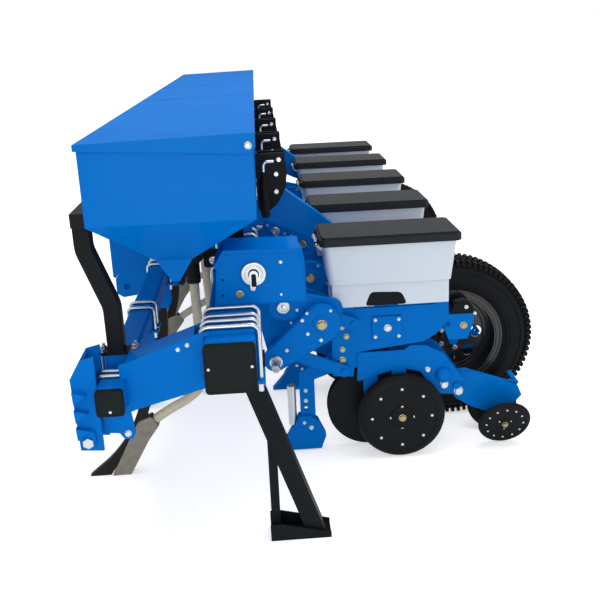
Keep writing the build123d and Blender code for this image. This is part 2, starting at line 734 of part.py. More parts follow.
# Drive: speed box on the beam, with its dial and crank
BOX_Y = (-1740, -1588)
BOX_OUTLINE = [(-50, 802), (-38, 925), (-8, 972), (222, 968), (238, 940), (240, 802)]
DIAL = (77, 905)
with BuildPart() as speed_box:
    plate(BOX_OUTLINE, sum(BOX_Y) / 2, BOX_Y[1] - BOX_Y[0])
    lip = [(-38, 925), (-8, 972), (224, 968), (224, 979), (-14, 984), (-48, 930)]
    plate(lip, sum(BOX_Y) / 2, BOX_Y[1] - BOX_Y[0] + 12)
    for x in (-30, 50):
        block((x - 15, x + 15), (BOX_Y[0] + 20, BOX_Y[1] - 20), (BEAM_TOP, 802))
speed_box.part.label = "speed_box"
export_step(speed_box.part, "parts/speed_box.step")

with BuildPart() as speed_dial:
    pin(DIAL, BOX_Y[0] - 6, 38, 12)
    link(DIAL, (73, 862), BOX_Y[0] - 18, 14, 8, 12)
speed_dial.part.label = "speed_dial"
export_step(speed_dial.part, "parts/speed_dial.step")

# Cross shaft that drives the rows
DRIVE_HALF = 1500
DRIVE_RADIUS = 15
with BuildPart() as drive_shaft:
    with BuildSketch(side(0)) as hexagon:
        with Locations(LOWER_PIVOT):
            RegularPolygon(radius=DRIVE_RADIUS, side_count=6)
    extrude(hexagon.sketch, amount=DRIVE_HALF, both=True)
drive_shaft.part.label = "drive_shaft"
export_step(drive_shaft.part, "parts/drive_shaft.step")

# Ground wheel arms: a tower on the beam and an arm down to the axle
WHEEL_ARM_Y = 767
WHEEL_ARM_WIDTH = 56
WHEEL_PLATE_HALF = 70
WHEEL_BOLT_HALF = 50
with BuildPart() as wheel_arms:
    for end in SIDES:
        y = end * WHEEL_ARM_Y
        tower = [
            (-66, BEAM_TOP),
            (66, BEAM_TOP),
            (66, BEAM_TOP + 40),
            (130, 862),
            (343, 764),
            (WHEEL_X - 26, TYRE_RADIUS - 26),
            (WHEEL_X, TYRE_RADIUS - 40),
            (WHEEL_X + 30, TYRE_RADIUS - 26),
            (WHEEL_X + 38, TYRE_RADIUS + 8),
            (WHEEL_X + 20, TYRE_RADIUS + 40),
            (342, 888),
            (217, 985),
            (160, 992),
            (110, 950),
            (-66, BEAM_TOP + 50),
        ]
        plate(tower, y, WHEEL_ARM_WIDTH)
        clamp_plate(y, WHEEL_PLATE_HALF, BEAM_BOTTOM - CLAMP_PLATE)
        block(
            (-66, 66),
            (y - WHEEL_PLATE_HALF, y + WHEEL_PLATE_HALF),
            (BEAM_TOP, BEAM_TOP + CLAMP_PLATE),
        )
        for offset in (-WHEEL_BOLT_HALF, WHEEL_BOLT_HALF):
            leg_holes(y + offset, BEAM_BOTTOM)
        pin((WHEEL_X, TYRE_RADIUS), end * (WHEEL_Y - 40), AXLE_RADIUS, 260)
wheel_arms.part.label = "wheel_arms"
export_step(wheel_arms.part, "parts/wheel_arms.step")

# Ground wheels: lugged tyre and slotted steel rim
CARCASS = TYRE_RADIUS - LUG_HEIGHT
HALF_WIDTH = TYRE_WIDTH / 2
TYRE_OUTLINE = [
    (-66, RIM_RADIUS),
    (-66, RIM_RADIUS + 19),
    (-HALF_WIDTH, RIM_RADIUS + 50),
    (-HALF_WIDTH, RIM_RADIUS + 92),
    (14 - HALF_WIDTH, CARCASS - 10),
    (40 - HALF_WIDTH, CARCASS),
    (HALF_WIDTH - 40, CARCASS),
    (HALF_WIDTH - 14, CARCASS - 10),
    (HALF_WIDTH, RIM_RADIUS + 92),
    (HALF_WIDTH, RIM_RADIUS + 50),
    (66, RIM_RADIUS + 19),
    (66, RIM_RADIUS),
]
RIM_OUTLINE = [
    (-72, RIM_RADIUS + 19),
    (-66, RIM_RADIUS + 19),
    (-66, RIM_RADIUS),
    (66, RIM_RADIUS),
    (66, RIM_RADIUS + 19),
    (72, RIM_RADIUS + 19),
    (72, RIM_RADIUS - 14),
    (0, RIM_RADIUS - 14),
    (0, HUB_RADIUS),
    (46, HUB_RADIUS),
    (46, AXLE_RADIUS + RUN_GAP),
    (-46, AXLE_RADIUS + RUN_GAP),
    (-46, HUB_RADIUS),
    (-8, HUB_RADIUS),
    (-8, RIM_RADIUS - 14),
    (-72, RIM_RADIUS - 14),
]
LUG_LENGTH = 26
LUG_TOP = sqrt(TYRE_RADIUS**2 - (LUG_LENGTH / 2) ** 2)
with BuildPart() as lug:
    with BuildSketch(Plane.XY.offset(CARCASS - 4)) as lug_foot:
        Rectangle(LUG_LENGTH, HALF_WIDTH - 10)
    extrude(lug_foot.sketch, amount=LUG_TOP - CARCASS + 4, taper=8)

with BuildPart() as tyre:
    turned(TYRE_OUTLINE, -BEAM_X, 0, 0)
    spokes = [
        Location((0, 0, 0), (0, (count + 0.25 * lug_side) * 360 / LUGS, 0))
        * Location((0, lug_side * (HALF_WIDTH / 2 + 2), 0))
        for count in range(LUGS)
        for lug_side in SIDES
    ]
    with Locations(*spokes):
        add(lug.part)

with BuildPart() as rim:
    turned(RIM_OUTLINE, -BEAM_X, 0, 0)
    for slot in range(8):
        angle = radians(slot * 45)
        centre = (118 * cos(angle) - BEAM_X, 118 * sin(angle))
        pin(centre, -4, 26, 20, mode=Mode.SUBTRACT)

for end, name in ((-1, "left"), (1, "right")):
    place = Location((BEAM_X + WHEEL_X, end * WHEEL_Y, TYRE_RADIUS), (0, 0, 90 - 90 * end))
    for form, kind in ((tyre, "tyre"), (rim, "rim")):
        with BuildPart() as wheel_piece:
            with Locations(place):
                add(form.part)
        wheel_piece.part.label = f"ground_{kind}_{name}"
        export_step(wheel_piece.part, f"parts/ground_{kind}_{name}.step")

# Row unit brackets on the main beam, and the links that carry the units
UPPER_UNIT = (UPPER_PIVOT[0] + LINK_RUN[0], UPPER_PIVOT[1] + LINK_RUN[1])
LOWER_UNIT = (LOWER_PIVOT[0] + LINK_RUN[0], LOWER_PIVOT[1] + LINK_RUN[1])
BRACKET_HALF = 76
BRACKET_BASE = 12
BRACKET_BOLT_HALF = 52
BRACKET_OUTLINE = [
    (BEAM_REAR, BEAM_TOP),
    (BEAM_REAR + 40, BEAM_TOP),
    (UPPER_PIVOT[0] + 26, UPPER_PIVOT[1] + 20),
    (UPPER_PIVOT[0] + 26, UPPER_PIVOT[1] - 30),
    (LOWER_PIVOT[0] + 30, LOWER_PIVOT[1] - 10),
    (LOWER_PIVOT[0] + 10, LOWER_PIVOT[1] - 34),
    (LOWER_PIVOT[0] - 24, LOWER_PIVOT[1] - 30),
    (BEAM_REAR, 600),
]
with BuildPart() as row_bracket:
    for end in SIDES:
        plate(BRACKET_OUTLINE, end * BRACKET_HALF, 10)
    block(
        (BEAM_REAR, BEAM_REAR + BRACKET_BASE),
        (-BRACKET_HALF, BRACKET_HALF),
        (BEAM_BOTTOM - 42, BEAM_TOP + 30),
    )
    for offset in (-BRACKET_BOLT_HALF, BRACKET_BOLT_HALF):
        for z in (BEAM_TOP + U_ROD + SEAT_GAP, BEAM_BOTTOM - U_ROD - SEAT_GAP):
            hole = Plane(origin=(BEAM_X + BEAM_REAR, offset, z), z_dir=(1, 0, 0))
            with BuildSketch(hole) as hole_round:
                Circle(U_ROD + SEAT_GAP)
            extrude(hole_round.sketch, amount=BRACKET_BASE, mode=Mode.SUBTRACT)
    pin(UPPER_PIVOT, 0, PIVOT_RADIUS + SEAT_GAP, 4 * BRACKET_HALF, mode=Mode.SUBTRACT)
    pin(LOWER_PIVOT, 0, DRIVE_RADIUS + SEAT_GAP, 4 * BRACKET_HALF, mode=Mode.SUBTRACT)
    pin(UPPER_PIVOT, 0, PIVOT_RADIUS, 2 * LINK_HALF + 26)
    for end in SIDES:
        y = end * LINK_HALF
        link(UPPER_PIVOT, UPPER_UNIT, y, 24, 24, LINK_PLATE)
        link(LOWER_PIVOT, LOWER_UNIT, y, 24, 24, LINK_PLATE)
        pin(LOWER_PIVOT, y, DRIVE_RADIUS + SEAT_GAP, LINK_PLATE, mode=Mode.SUBTRACT)
    pin(UPPER_UNIT, 0, PIVOT_RADIUS, 2 * LINK_HALF + 26)
    pin(LOWER_UNIT, 0, PIVOT_RADIUS, 2 * LINK_HALF + 26)

with BuildPart() as unit_brackets:
    with Locations(*ROW_PLACES):
        add(row_bracket.part)
unit_brackets.part.label = "unit_brackets"
export_step(unit_brackets.part, "parts/unit_brackets.step")

# Row unit frames: two side plates with their lower arms
SIDE_OUTLINE = [
    (390, SEED_FLOOR - SEAT_GAP),
    (805, SEED_FLOOR - SEAT_GAP),
    (805, 535),
    (759, 485),
    (708, 455),
    (446, 427),
    (432, 327),
    (354, 333),
]
LOWER_OUTLINE = [
    (450, 424),
    (633, 424),
    (657, 442),
    (716, 438),
    (787, 400),
    (867, 289),
    (824, 227),
    (764, 231),
    (696, 330),
    (617, 352),
    (447, 305),
]
PRESS_PIVOT = (838, 262)
PRESS_PIVOT_RADIUS = 14
REAR_LUG = [(790, 558), (903, 558), (903, 520), (880, 456), (805, 456), (790, 500)]
FRONT_STRIP = [(352, 345), (420, 345), (420, SEED_FLOOR - 3), (362, SEED_FLOOR - 3), (352, 600)]
SQUARE_PLATE = [(508, 478), (624, 478), (624, 569), (508, 569)]
TOP_RIB = [(445, 597), (753, 597), (753, 607), (445, 607)]
PRESS_ARM_WIDTH = 34
PRESS_HUB_Z = 132
PRESS_ARM_OUTLINE = [
    (806, 300),
    (890, 300),
    (1099, 224),
    (1117, 180),
    (1060, 120),
    (992, 112),
    (912, 143),
    (851, 183),
    (806, 240),
]
with BuildPart() as row_frame:
    for end in SIDES:
        y = end * UNIT_HALF
        plate(SIDE_OUTLINE, y, UNIT_PLATE)
        plate(LOWER_OUTLINE, y, UNIT_PLATE)
        plate(REAR_LUG, y, UNIT_PLATE)
        link((GAUGE_X, 395), (GAUGE_X, GAUGE_RADIUS), y, 30, 22, UNIT_PLATE)
        stub_y = end * (GAUGE_HALF + GAUGE_WIDTH / 2 + UNIT_HALF) / 2
        pin((GAUGE_X, GAUGE_RADIUS), stub_y, GAUGE_AXLE, GAUGE_HALF + GAUGE_WIDTH / 2 - UNIT_HALF + 6)
        raised_y = end * (UNIT_HALF + UNIT_PLATE)
        for outline in (FRONT_STRIP, SQUARE_PLATE, TOP_RIB):
            plate(outline, raised_y, UNIT_PLATE)
    block((400, 466), (-UNIT_HALF, UNIT_HALF), (362, 600))
    block((780, 800), (-UNIT_HALF, UNIT_HALF), (540, 615))
    pin((DISC_X, DISC_Z), 0, DISC_AXLE, 2 * UNIT_HALF)
    for end in SIDES:
        link((DISC_X, DISC_Z), (DISC_X, 336), end * (UNIT_HALF - 12), 24, 30, 8)
    block((470, 530), (-UNIT_HALF, UNIT_HALF), (362, 390))
    for pivot in (UPPER_UNIT, LOWER_UNIT):
        pin(pivot, 0, PIVOT_RADIUS + SEAT_GAP, 2 * UNIT_HALF + 40, mode=Mode.SUBTRACT)
    pin((802, 520), 0, 9, 2 * UNIT_HALF + 20, mode=Mode.SUBTRACT)
    plate(PRESS_ARM_OUTLINE, 0, PRESS_ARM_WIDTH)
    pin(PRESS_PIVOT, 0, PRESS_PIVOT_RADIUS, 2 * UNIT_HALF + 30)
    for end in SIDES:
        axle = (0, end * cos(radians(PRESS_TILT)), -sin(radians(PRESS_TILT)))
        centre = (BEAM_X + PRESS_X, end * PRESS_HALF, PRESS_Z)
        with BuildSketch(Plane(origin=centre, z_dir=axle)) as stub:
            Circle(PRESS_AXLE)
        extrude(stub.sketch, amount=PRESS_WIDTH / 2 + 8)
        extrude(stub.sketch, amount=-PRESS_HALF + 4)

with BuildPart() as unit_frames:
    with Locations(*ROW_PLACES):
        add(row_frame.part)
unit_frames.part.label = "unit_frames"
export_step(unit_frames.part, "parts/unit_frames.step")

# Opener discs, gauge wheels and press wheels, which turn on their axles
DISC_OUTLINE = [
    (-DISC_HALF - DISC_PLATE, DISC_AXLE + RUN_GAP),
    (-DISC_HALF - DISC_PLATE, DISC_RADIUS - 6),
    (-DISC_HALF, DISC_RADIUS),
    (-DISC_HALF, 40),
    (DISC_HALF, 40),
    (DISC_HALF, DISC_RADIUS),
    (DISC_HALF + DISC_PLATE, DISC_RADIUS - 6),
    (DISC_HALF + DISC_PLATE, DISC_AXLE + RUN_GAP),
]
HALF_GAUGE = GAUGE_WIDTH / 2
GAUGE_OUTLINE = [
    (-HALF_GAUGE, GAUGE_AXLE + RUN_GAP),
    (-HALF_GAUGE, GAUGE_RADIUS - 34),
    (8 - HALF_GAUGE, GAUGE_RADIUS - 10),
    (-8, GAUGE_RADIUS),
    (8, GAUGE_RADIUS),
    (HALF_GAUGE - 8, GAUGE_RADIUS - 10),
    (HALF_GAUGE, GAUGE_RADIUS - 34),
    (HALF_GAUGE - 5, GAUGE_RADIUS - 40),
    (HALF_GAUGE - 5, GAUGE_AXLE + RUN_GAP),
]
HALF_PRESS = PRESS_WIDTH / 2
PRESS_OUTLINE = [
    (-HALF_PRESS, PRESS_AXLE + RUN_GAP),
    (-HALF_PRESS, PRESS_RADIUS - 14),
    (-4, PRESS_RADIUS),
    (4, PRESS_RADIUS),
    (HALF_PRESS, PRESS_RADIUS - 14),
    (HALF_PRESS - 3, PRESS_RADIUS - 20),
    (HALF_PRESS - 3, PRESS_AXLE + RUN_GAP),
]


def facing(outline, end):
    """The outline of a turned ring with its outer face towards the given side."""
    return [(end * along, radius) for along, radius in outline]


for number, row_y in enumerate(ROW_Y, 1):
    with BuildPart() as opener_discs:
        turned(DISC_OUTLINE, DISC_X, row_y, DISC_Z)
    opener_discs.part.label = f"opener_discs_{number}"
    export_step(opener_discs.part, f"parts/opener_discs_{number}.step")

    with BuildPart() as gauge_wheels:
        for end in SIDES:
            turned(facing(GAUGE_OUTLINE, end), GAUGE_X, row_y + end * GAUGE_HALF, GAUGE_RADIUS)
    gauge_wheels.part.label = f"gauge_wheels_{number}"
    export_step(gauge_wheels.part, f"parts/gauge_wheels_{number}.step")

    for end, name in ((-1, "left"), (1, "right")):
        with BuildPart() as press_wheel:
            outline = facing(PRESS_OUTLINE, end)
            turned(outline, PRESS_X, row_y + end * PRESS_HALF, PRESS_Z, tilt=-end * PRESS_TILT)
        press_wheel.part.label = f"press_wheel_{name}_{number}"
        export_step(press_wheel.part, f"parts/press_wheel_{name}_{number}.step")

# Seed hopper: a tapered box over a stepped foot with an arch over the meter
SEED_STEP_INSET = 20
SEED_FOOT_INSET = 30
ARCH_X = 560
ARCH_RADIUS = 46


def seed_form(inset, rim, mode):
    """The seed hopper's outer form, or with an inset the space inside it."""
    with BuildSketch(level(rim)) as top:
        with Locations(((SEED_FRONT + SEED_REAR) / 2, 0)):
            RectangleRounded(SEED_REAR - SEED_FRONT - 2 * inset, 2 * (SEED_HALF - inset), 24)
    with BuildSketch(level(SEED_STEP)) as waist:
        with Locations(((SEED_FRONT + SEED_REAR) / 2, 0)):
            RectangleRounded(
                SEED_REAR - SEED_FRONT - 2 * inset - 2 * SEED_STEP_INSET,
                2 * (SEED_HALF - inset) - SEED_STEP_INSET,
                24,
            )
    loft([top.sketch, waist.sketch], mode=mode)
    foot = [
        (SEED_FRONT + SEED_FOOT_INSET + inset, SEED_STEP),
        (SEED_REAR - SEED_FOOT_INSET - inset, SEED_STEP),
        (SEED_REAR - SEED_FOOT_INSET - inset, SEED_FLOOR + inset),
        (SEED_FRONT + SEED_FOOT_INSET + inset, SEED_FLOOR + inset),
    ]
    with BuildSketch(side(0)) as foot_profile:
        with BuildLine():
            Polyline(*foot, close=True)
        make_face()
        with Locations((ARCH_X, SEED_FLOOR)):
            Circle(ARCH_RADIUS + inset, mode=Mode.SUBTRACT)
    extrude(foot_profile.sketch, amount=SEED_HALF - SEED_STEP_INSET - inset, both=True, mode=mode)


with BuildPart() as seed_hopper:
    seed_form(0, SEED_TOP, Mode.ADD)
    seed_form(SEED_WALL, SEED_TOP, Mode.SUBTRACT)
    for end in SIDES:
        ear = [
            (SEED_HINGE_X - 7, SEED_HINGE_Z),
            (SEED_HINGE_X - 7, SEED_HINGE_Z - 8),
            (SEED_FRONT + 2, SEED_HINGE_Z - 32),
            (SEED_FRONT + 2, SEED_HINGE_Z - 8),
            (SEED_HINGE_X + 7, SEED_HINGE_Z - 6),
            (SEED_HINGE_X + 7, SEED_HINGE_Z),
        ]
        plate(ear, end * 60, 8)
        pin((SEED_HINGE_X, SEED_HINGE_Z), end * 60, 7, 8)
    pin((SEED_HINGE_X, SEED_HINGE_Z), 0, SEED_PIN_RADIUS, 160)

with BuildPart() as seed_hoppers:
    with Locations(*ROW_PLACES):
        add(seed_hopper.part)
seed_hoppers.part.label = "seed_hoppers"
export_step(seed_hoppers.part, "parts/seed_hoppers.step")

# Seed hopper lid: a shallow tray with cut corners on two hinge knuckles
with BuildPart() as seed_lid:
    gap = SEED_LID_CLEARANCE
    space = (
        (SEED_FRONT - gap, SEED_REAR + gap),
        (-SEED_HALF - gap, SEED_HALF + gap),
    )
    outer_x = (space[0][0] - SEED_LID_WALL, space[0][1] + SEED_LID_WALL)
    outer_y = (space[1][0] - SEED_LID_WALL, space[1][1] + SEED_LID_WALL)
    with BuildSketch(level(SEED_LID_RIM)) as lid_plan:
        with Locations((sum(outer_x) / 2, 0)):
            Rectangle(outer_x[1] - outer_x[0], outer_y[1] - outer_y[0])
        chamfer(lid_plan.vertices(), 16)
    extrude(lid_plan.sketch, amount=SEED_LID_TOP - SEED_LID_RIM - 8)
    with BuildSketch(level(SEED_LID_TOP - 8)) as crown:
        with Locations((sum(outer_x) / 2, 0)):
            Rectangle(outer_x[1] - outer_x[0] - 16, outer_y[1] - outer_y[0] - 16)
        chamfer(crown.vertices(), 12)
    extrude(crown.sketch, amount=8)
    with BuildSketch(level(SEED_LID_RIM)) as tray:
        with Locations((sum(space[0]) / 2, 0)):
            Rectangle(space[0][1] - space[0][0], space[1][1] - space[1][0])
        chamfer(tray.vertices(), 14)
    extrude(tray.sketch, amount=SEED_TOP + SEAT_GAP - SEED_LID_RIM, mode=Mode.SUBTRACT)
    for end in SIDES:
        pin((SEED_HINGE_X, SEED_HINGE_Z), end * 70.5, 8, 12)
        knuckle = [
            (SEED_HINGE_X, SEED_HINGE_Z - 2),
            (outer_x[0] + 1, SEED_LID_RIM),
            (outer_x[0] + 1, SEED_LID_TOP - 12),
            (SEED_HINGE_X, SEED_HINGE_Z + 8),
        ]
        plate(knuckle, end * 70.5, 12)
        bore = SEED_PIN_RADIUS + RUN_GAP
        pin((SEED_HINGE_X, SEED_HINGE_Z), end * 70.5, bore, 12, mode=Mode.SUBTRACT)

for number, row_y in enumerate(ROW_Y, 1):
    with BuildPart() as row_lid:
        with Locations((0, row_y, 0)):
            add(seed_lid.part)
    row_lid.part.label = f"seed_lid_{number}"
    export_step(row_lid.part, f"parts/seed_lid_{number}.step")

# Seed meters: round housings under the hoppers with the tube to the openers
METER_CENTRE = (560, 520)
METER_RADIUS = 88
METER_WIDTH = 84
SEED_TUBE = 20
with BuildPart() as seed_meters:
    for row_y in ROW_Y:
        pin(METER_CENTRE, row_y, METER_RADIUS, METER_WIDTH)
        neck = [(480, 560), (480, SEED_FLOOR), (514, SEED_FLOOR), (540, 600)]
        plate(neck, row_y, 60)
        tube = [(548, 440), (576, 440), (612, 250), (596, 250)]
        plate(tube, row_y, SEED_TUBE)
seed_meters.part.label = "seed_meters"
export_step(seed_meters.part, "parts/seed_meters.step")

# Clod pushers ahead of the openers
with BuildPart() as clod_pushers:
    for row_y in ROW_Y:
        boot = [(118, 5), (300, 5), (321, 60), (292, 125), (262, 150), (215, 150), (168, 62)]
        plate(boot, row_y, 46)
        shank = [(222, 120), (282, 120), (282, 300), (400, 342), (400, 420), (352, 400), (222, 330)]
        plate(shank, row_y, 16)
        for z in (178, 211, 254):
            pin((245, z), row_y, 8, 20, mode=Mode.SUBTRACT)
        with Locations((BEAM_X + 192, row_y, 186)):
            Cylinder(7, 180)
        block((186, 224), (row_y - 8, row_y + 8), (262, 274))
        pin(LOWER_UNIT, row_y, PIVOT_RADIUS + SEAT_GAP, 20, mode=Mode.SUBTRACT)
clod_pushers.part.label = "clod_pushers"
export_step(clod_pushers.part, "parts/clod_pushers.step")

# Chain cases from the cross shaft to each row
CASE_LOWER = (306, 604)
CASE_UPPER = (352, 640)
with BuildPart() as chain_cases:
    for row_y in ROW_Y:
        link(LOWER_PIVOT, CASE_LOWER, row_y - 200, 42, 70, 34)
        pin(LOWER_PIVOT, row_y - 200, DRIVE_RADIUS + SEAT_GAP, 34, mode=Mode.SUBTRACT)
        link(UPPER_PIVOT, CASE_UPPER, row_y - 150, 55, 38, 30)
        pin(UPPER_PIVOT, row_y - 150, PIVOT_RADIUS + SEAT_GAP, 30, mode=Mode.SUBTRACT)
        pin(CASE_LOWER, row_y - 175, 14, 110)
chain_cases.part.label = "chain_cases"
export_step(chain_cases.part, "parts/chain_cases.step")

# U-bolts: round rods over the beams with a nut on each leg


def u_bolt(reach, rod, top, bottom):
    """U-bolt in the plane y = 0, with its middle over x = 0."""
    cut = 1.2 * rod
    with BuildLine() as route:
        Polyline(
            (-reach, 0, bottom),
            (-reach, 0, top - cut),
            (cut - reach, 0, top),
            (reach - cut, 0, top),
            (reach, 0, top - cut),
            (reach, 0, bottom),
        )
    with BuildSketch(Plane(origin=(-reach, 0, bottom), z_dir=(0, 0, 1))) as rod_section:
        RegularPolygon(radius=rod, side_count=8)
    sweep(rod_section.sketch, path=route.line, transition=Transition.RIGHT)


with BuildPart() as arm_u_bolt:
    u_bolt(U_REACH, U_ROD, BEAM_TOP + CLAMP_PLATE + U_ROD, BEAM_BOTTOM - CLAMP_PLATE - 30)
with BuildPart() as stand_u_bolt:
    u_bolt(U_REACH, U_ROD, BEAM_TOP + U_ROD, BEAM_BOTTOM - CLAMP_PLATE - 30)
with BuildPart() as row_u_bolt:
    u_bolt(U_REACH, U_ROD, BEAM_REAR + U_ROD, -BEAM_REAR - BRACKET_BASE - 24)
with BuildPart() as tine_u_bolt:
    u_bolt(FRONT_U_REACH, FRONT_U_ROD, FRONT_TOP + FRONT_U_ROD, FRONT_BOTTOM - 8 - 22)
WHEEL_BOLT_Y = [
    end * WHEEL_ARM_Y + offset for end in SIDES for offset in (-WHEEL_BOLT_HALF, WHEEL_BOLT_HALF)
]
ARM_BOLT_Y = [y + offset for y in ARM_Y for offset in (-ARM_BOLT_HALF, ARM_BOLT_HALF)]
STAND_BOLT_Y = [
    end * STAND_Y + offset for end in SIDES for offset in (-STAND_BOLT_HALF, STAND_BOLT_HALF)
]
with BuildPart() as u_bolts:
    with Locations(*[(BEAM_X, y, 0) for y in ARM_BOLT_Y + WHEEL_BOLT_Y]):
        add(arm_u_bolt.part)
    with Locations(*[(BEAM_X, y, 0) for y in STAND_BOLT_Y]):
        add(stand_u_bolt.part)
    turned_over = [
        Location((BEAM_X, row_y + offset, BEAM_Z), (0, -90, 0))
        for row_y in ROW_Y
        for offset in (-BRACKET_BOLT_HALF, BRACKET_BOLT_HALF)
    ]
    with Locations(*turned_over):
        add(row_u_bolt.part)
    with Locations(
        *[
            (BEAM_X + FRONT_X, y + offset, 0)
            for y in TINE_Y
            for offset in (-TINE_BOLT_HALF, TINE_BOLT_HALF)
        ]
    ):
        add(tine_u_bolt.part)
    with Locations(
        *[
            (BEAM_X + FRONT_X, end * END_BOLT_Y + offset, 0)
            for end in SIDES
            for offset in (-END_BOLT_HALF, END_BOLT_HALF)
        ]
    ):
        add(tine_u_bolt.part)
u_bolts.part.label = "u_bolts"
export_step(u_bolts.part, "parts/u_bolts.step")

# Suction fan on the headstock and its input shaft
FAN_Y = 250
FAN_Z = 895
FAN_RADIUS = 178
FAN_X = (-496, -406)
FAN_FRONT = Plane(origin=(BEAM_X + FAN_X[0], FAN_Y, FAN_Z), x_dir=(0, 1, 0), z_dir=(1, 0, 0))
with BuildPart() as fan_housing:
    with BuildSketch(FAN_FRONT) as scroll:
        Circle(FAN_RADIUS)
        with Locations((FAN_RADIUS - 45, 100)):
            Rectangle(90, 200)
    extrude(scroll.sketch, amount=FAN_X[1] - FAN_X[0])
    with BuildSketch(FAN_FRONT) as inlet:
        Circle(62)
    extrude(inlet.sketch, amount=-40)
    block((-470, -430), (FAN_Y - 30, FAN_Y + 30), (FRONT_TOP + 20, FAN_Z - FAN_RADIUS + 30))
    block((-470, FRONT_REAR), (FAN_Y - 60, FAN_Y + 60), (FRONT_TOP, FRONT_TOP + 20))
fan_housing.part.label = "fan_housing"
export_step(fan_housing.part, "parts/fan_housing.step")
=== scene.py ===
# %% [markdown]
# # Pneumatic seeder
# The CAD model gives every plate, beam and wheel at its real size. This script dresses it: it
# gives each surface its finish and adds what is too fine for the CAD model, such as bolts,
# rivets, tread and hoses. New pieces are surfaces worked out as whole numpy arrays.

import json
from math import cos, pi, radians, sin

import bmesh
import bpy
import numpy as np
from mathutils import Matrix


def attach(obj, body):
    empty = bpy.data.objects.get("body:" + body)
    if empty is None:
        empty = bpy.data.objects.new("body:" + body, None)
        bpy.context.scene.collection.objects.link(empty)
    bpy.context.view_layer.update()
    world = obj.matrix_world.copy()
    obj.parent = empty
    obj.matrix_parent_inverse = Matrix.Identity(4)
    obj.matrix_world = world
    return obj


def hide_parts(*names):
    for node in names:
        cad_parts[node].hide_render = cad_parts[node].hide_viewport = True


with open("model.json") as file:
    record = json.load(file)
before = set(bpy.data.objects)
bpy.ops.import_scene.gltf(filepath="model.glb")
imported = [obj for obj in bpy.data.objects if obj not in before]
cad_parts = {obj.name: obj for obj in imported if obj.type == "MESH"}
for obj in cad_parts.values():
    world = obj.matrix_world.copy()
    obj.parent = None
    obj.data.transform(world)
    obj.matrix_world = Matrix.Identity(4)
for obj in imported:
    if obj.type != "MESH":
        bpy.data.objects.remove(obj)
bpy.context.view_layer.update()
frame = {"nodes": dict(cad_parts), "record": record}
MM = 0.001
BEAM_X = -312.5
ROW_Y = np.arange(-1200, 1201, 600)
TINE_ASIDE = 100
SIDES = (-1, 1)

# %% [markdown]
# ## Camera
# A camera fitted to the row spacing gives its place and its three turns. Its columns are the
# picture's right, the picture's up and the way back, so no pointing helper is needed.

# %% Camera
YAW, PITCH, ROLL = 0.054, 0.293, -0.042
ahead = np.array([sin(YAW) * cos(PITCH), cos(YAW) * cos(PITCH), -sin(PITCH)])
level_right = np.array([cos(YAW), -sin(YAW), 0])
level_up = np.cross(level_right, ahead)
right = cos(ROLL) * level_right + sin(ROLL) * level_up
up = cos(ROLL) * level_up - sin(ROLL) * level_right
camera_data = bpy.data.cameras.new("camera")
camera_data.lens = 50.11
camera_data.sensor_width = 36
camera_data.shift_x = -0.0168
camera_data.shift_y = -0.0318
camera = bpy.data.objects.new("camera", camera_data)
bpy.context.collection.objects.link(camera)
turn = np.eye(4)
turn[:3, :3] = np.stack([right, up, -ahead], axis=1)
turn[:3, 3] = (-0.1955, -4.256, 1.629)
camera.matrix_world = Matrix(turn.tolist())
bpy.context.scene.camera = camera

# %% [markdown]
# ## Surfaces
# Every new piece is a grid of points, each worked out from two parameters. A grid may close on
# itself in either direction. Coinciding points are merged afterwards, which closes the poles.


# %% Grids, copies and pieces
def at(x, y, z):
    """Points in metres in the model's frame from millimetres measured from the main beam."""
    return np.stack(np.broadcast_arrays(x, y, z), axis=-1) * MM + (BEAM_X * MM, 0, 0)


def grid(points, close_rows=False, close_columns=True):
    """Points (rows, columns, 3) with the four-cornered faces between neighbours."""
    rows, columns = points.shape[:2]
    index = np.arange(rows * columns).reshape(rows, columns)
    below = np.roll(index, -1, 0) if close_rows else index[1:]
    index = index if close_rows else index[:-1]
    nearer, further = index, below
    if close_columns:
        quads = [nearer, further, np.roll(further, -1, 1), np.roll(nearer, -1, 1)]
    else:
        quads = [nearer[:, :-1], further[:, :-1], further[:, 1:], nearer[:, 1:]]
    return points.reshape(-1, 3), np.stack(quads, -1).reshape(-1, 4)


def joined(parts):
    """Several (points, faces) pairs as one."""
    starts = np.cumsum([0] + [len(points) for points, _ in parts[:-1]])
    faces = [quads + start for (_, quads), start in zip(parts, starts)]
    return np.concatenate([points for points, _ in parts]), np.concatenate(faces)


def copies(part, frames):
    """The part once in each 4 by 4 frame."""
    points, quads = part
    moved = np.einsum("kij,nj->kni", frames[:, :3, :3], points) + frames[:, None, :3, 3]
    shifted = quads[None] + np.arange(len(frames))[:, None, None] * len(points)
    return moved.reshape(-1, 3), shifted.reshape(-1, 4)


def plain_frames(count):
    """As many frames that leave a part where it is, as a start for others."""
    return np.tile(np.eye(4), (count, 1, 1))


def frames_at(places, normals):
    """Frames at places (n, 3) whose third axis points along normals (n, 3)."""
    third = np.broadcast_to(np.asarray(normals, float), places.shape)
    third = third / np.linalg.norm(third, axis=1, keepdims=True)
    helper = np.where(np.abs(third[:, 2:3]) > 0.9, (1.0, 0, 0), (0, 0, 1.0))
    first = np.cross(helper, third)
    first /= np.linalg.norm(first, axis=1, keepdims=True)
    frames = plain_frames(len(places))
    frames[:, :3, :3] = np.stack([first, np.cross(third, first), third], axis=2)
    frames[:, :3, 3] = places
    return frames


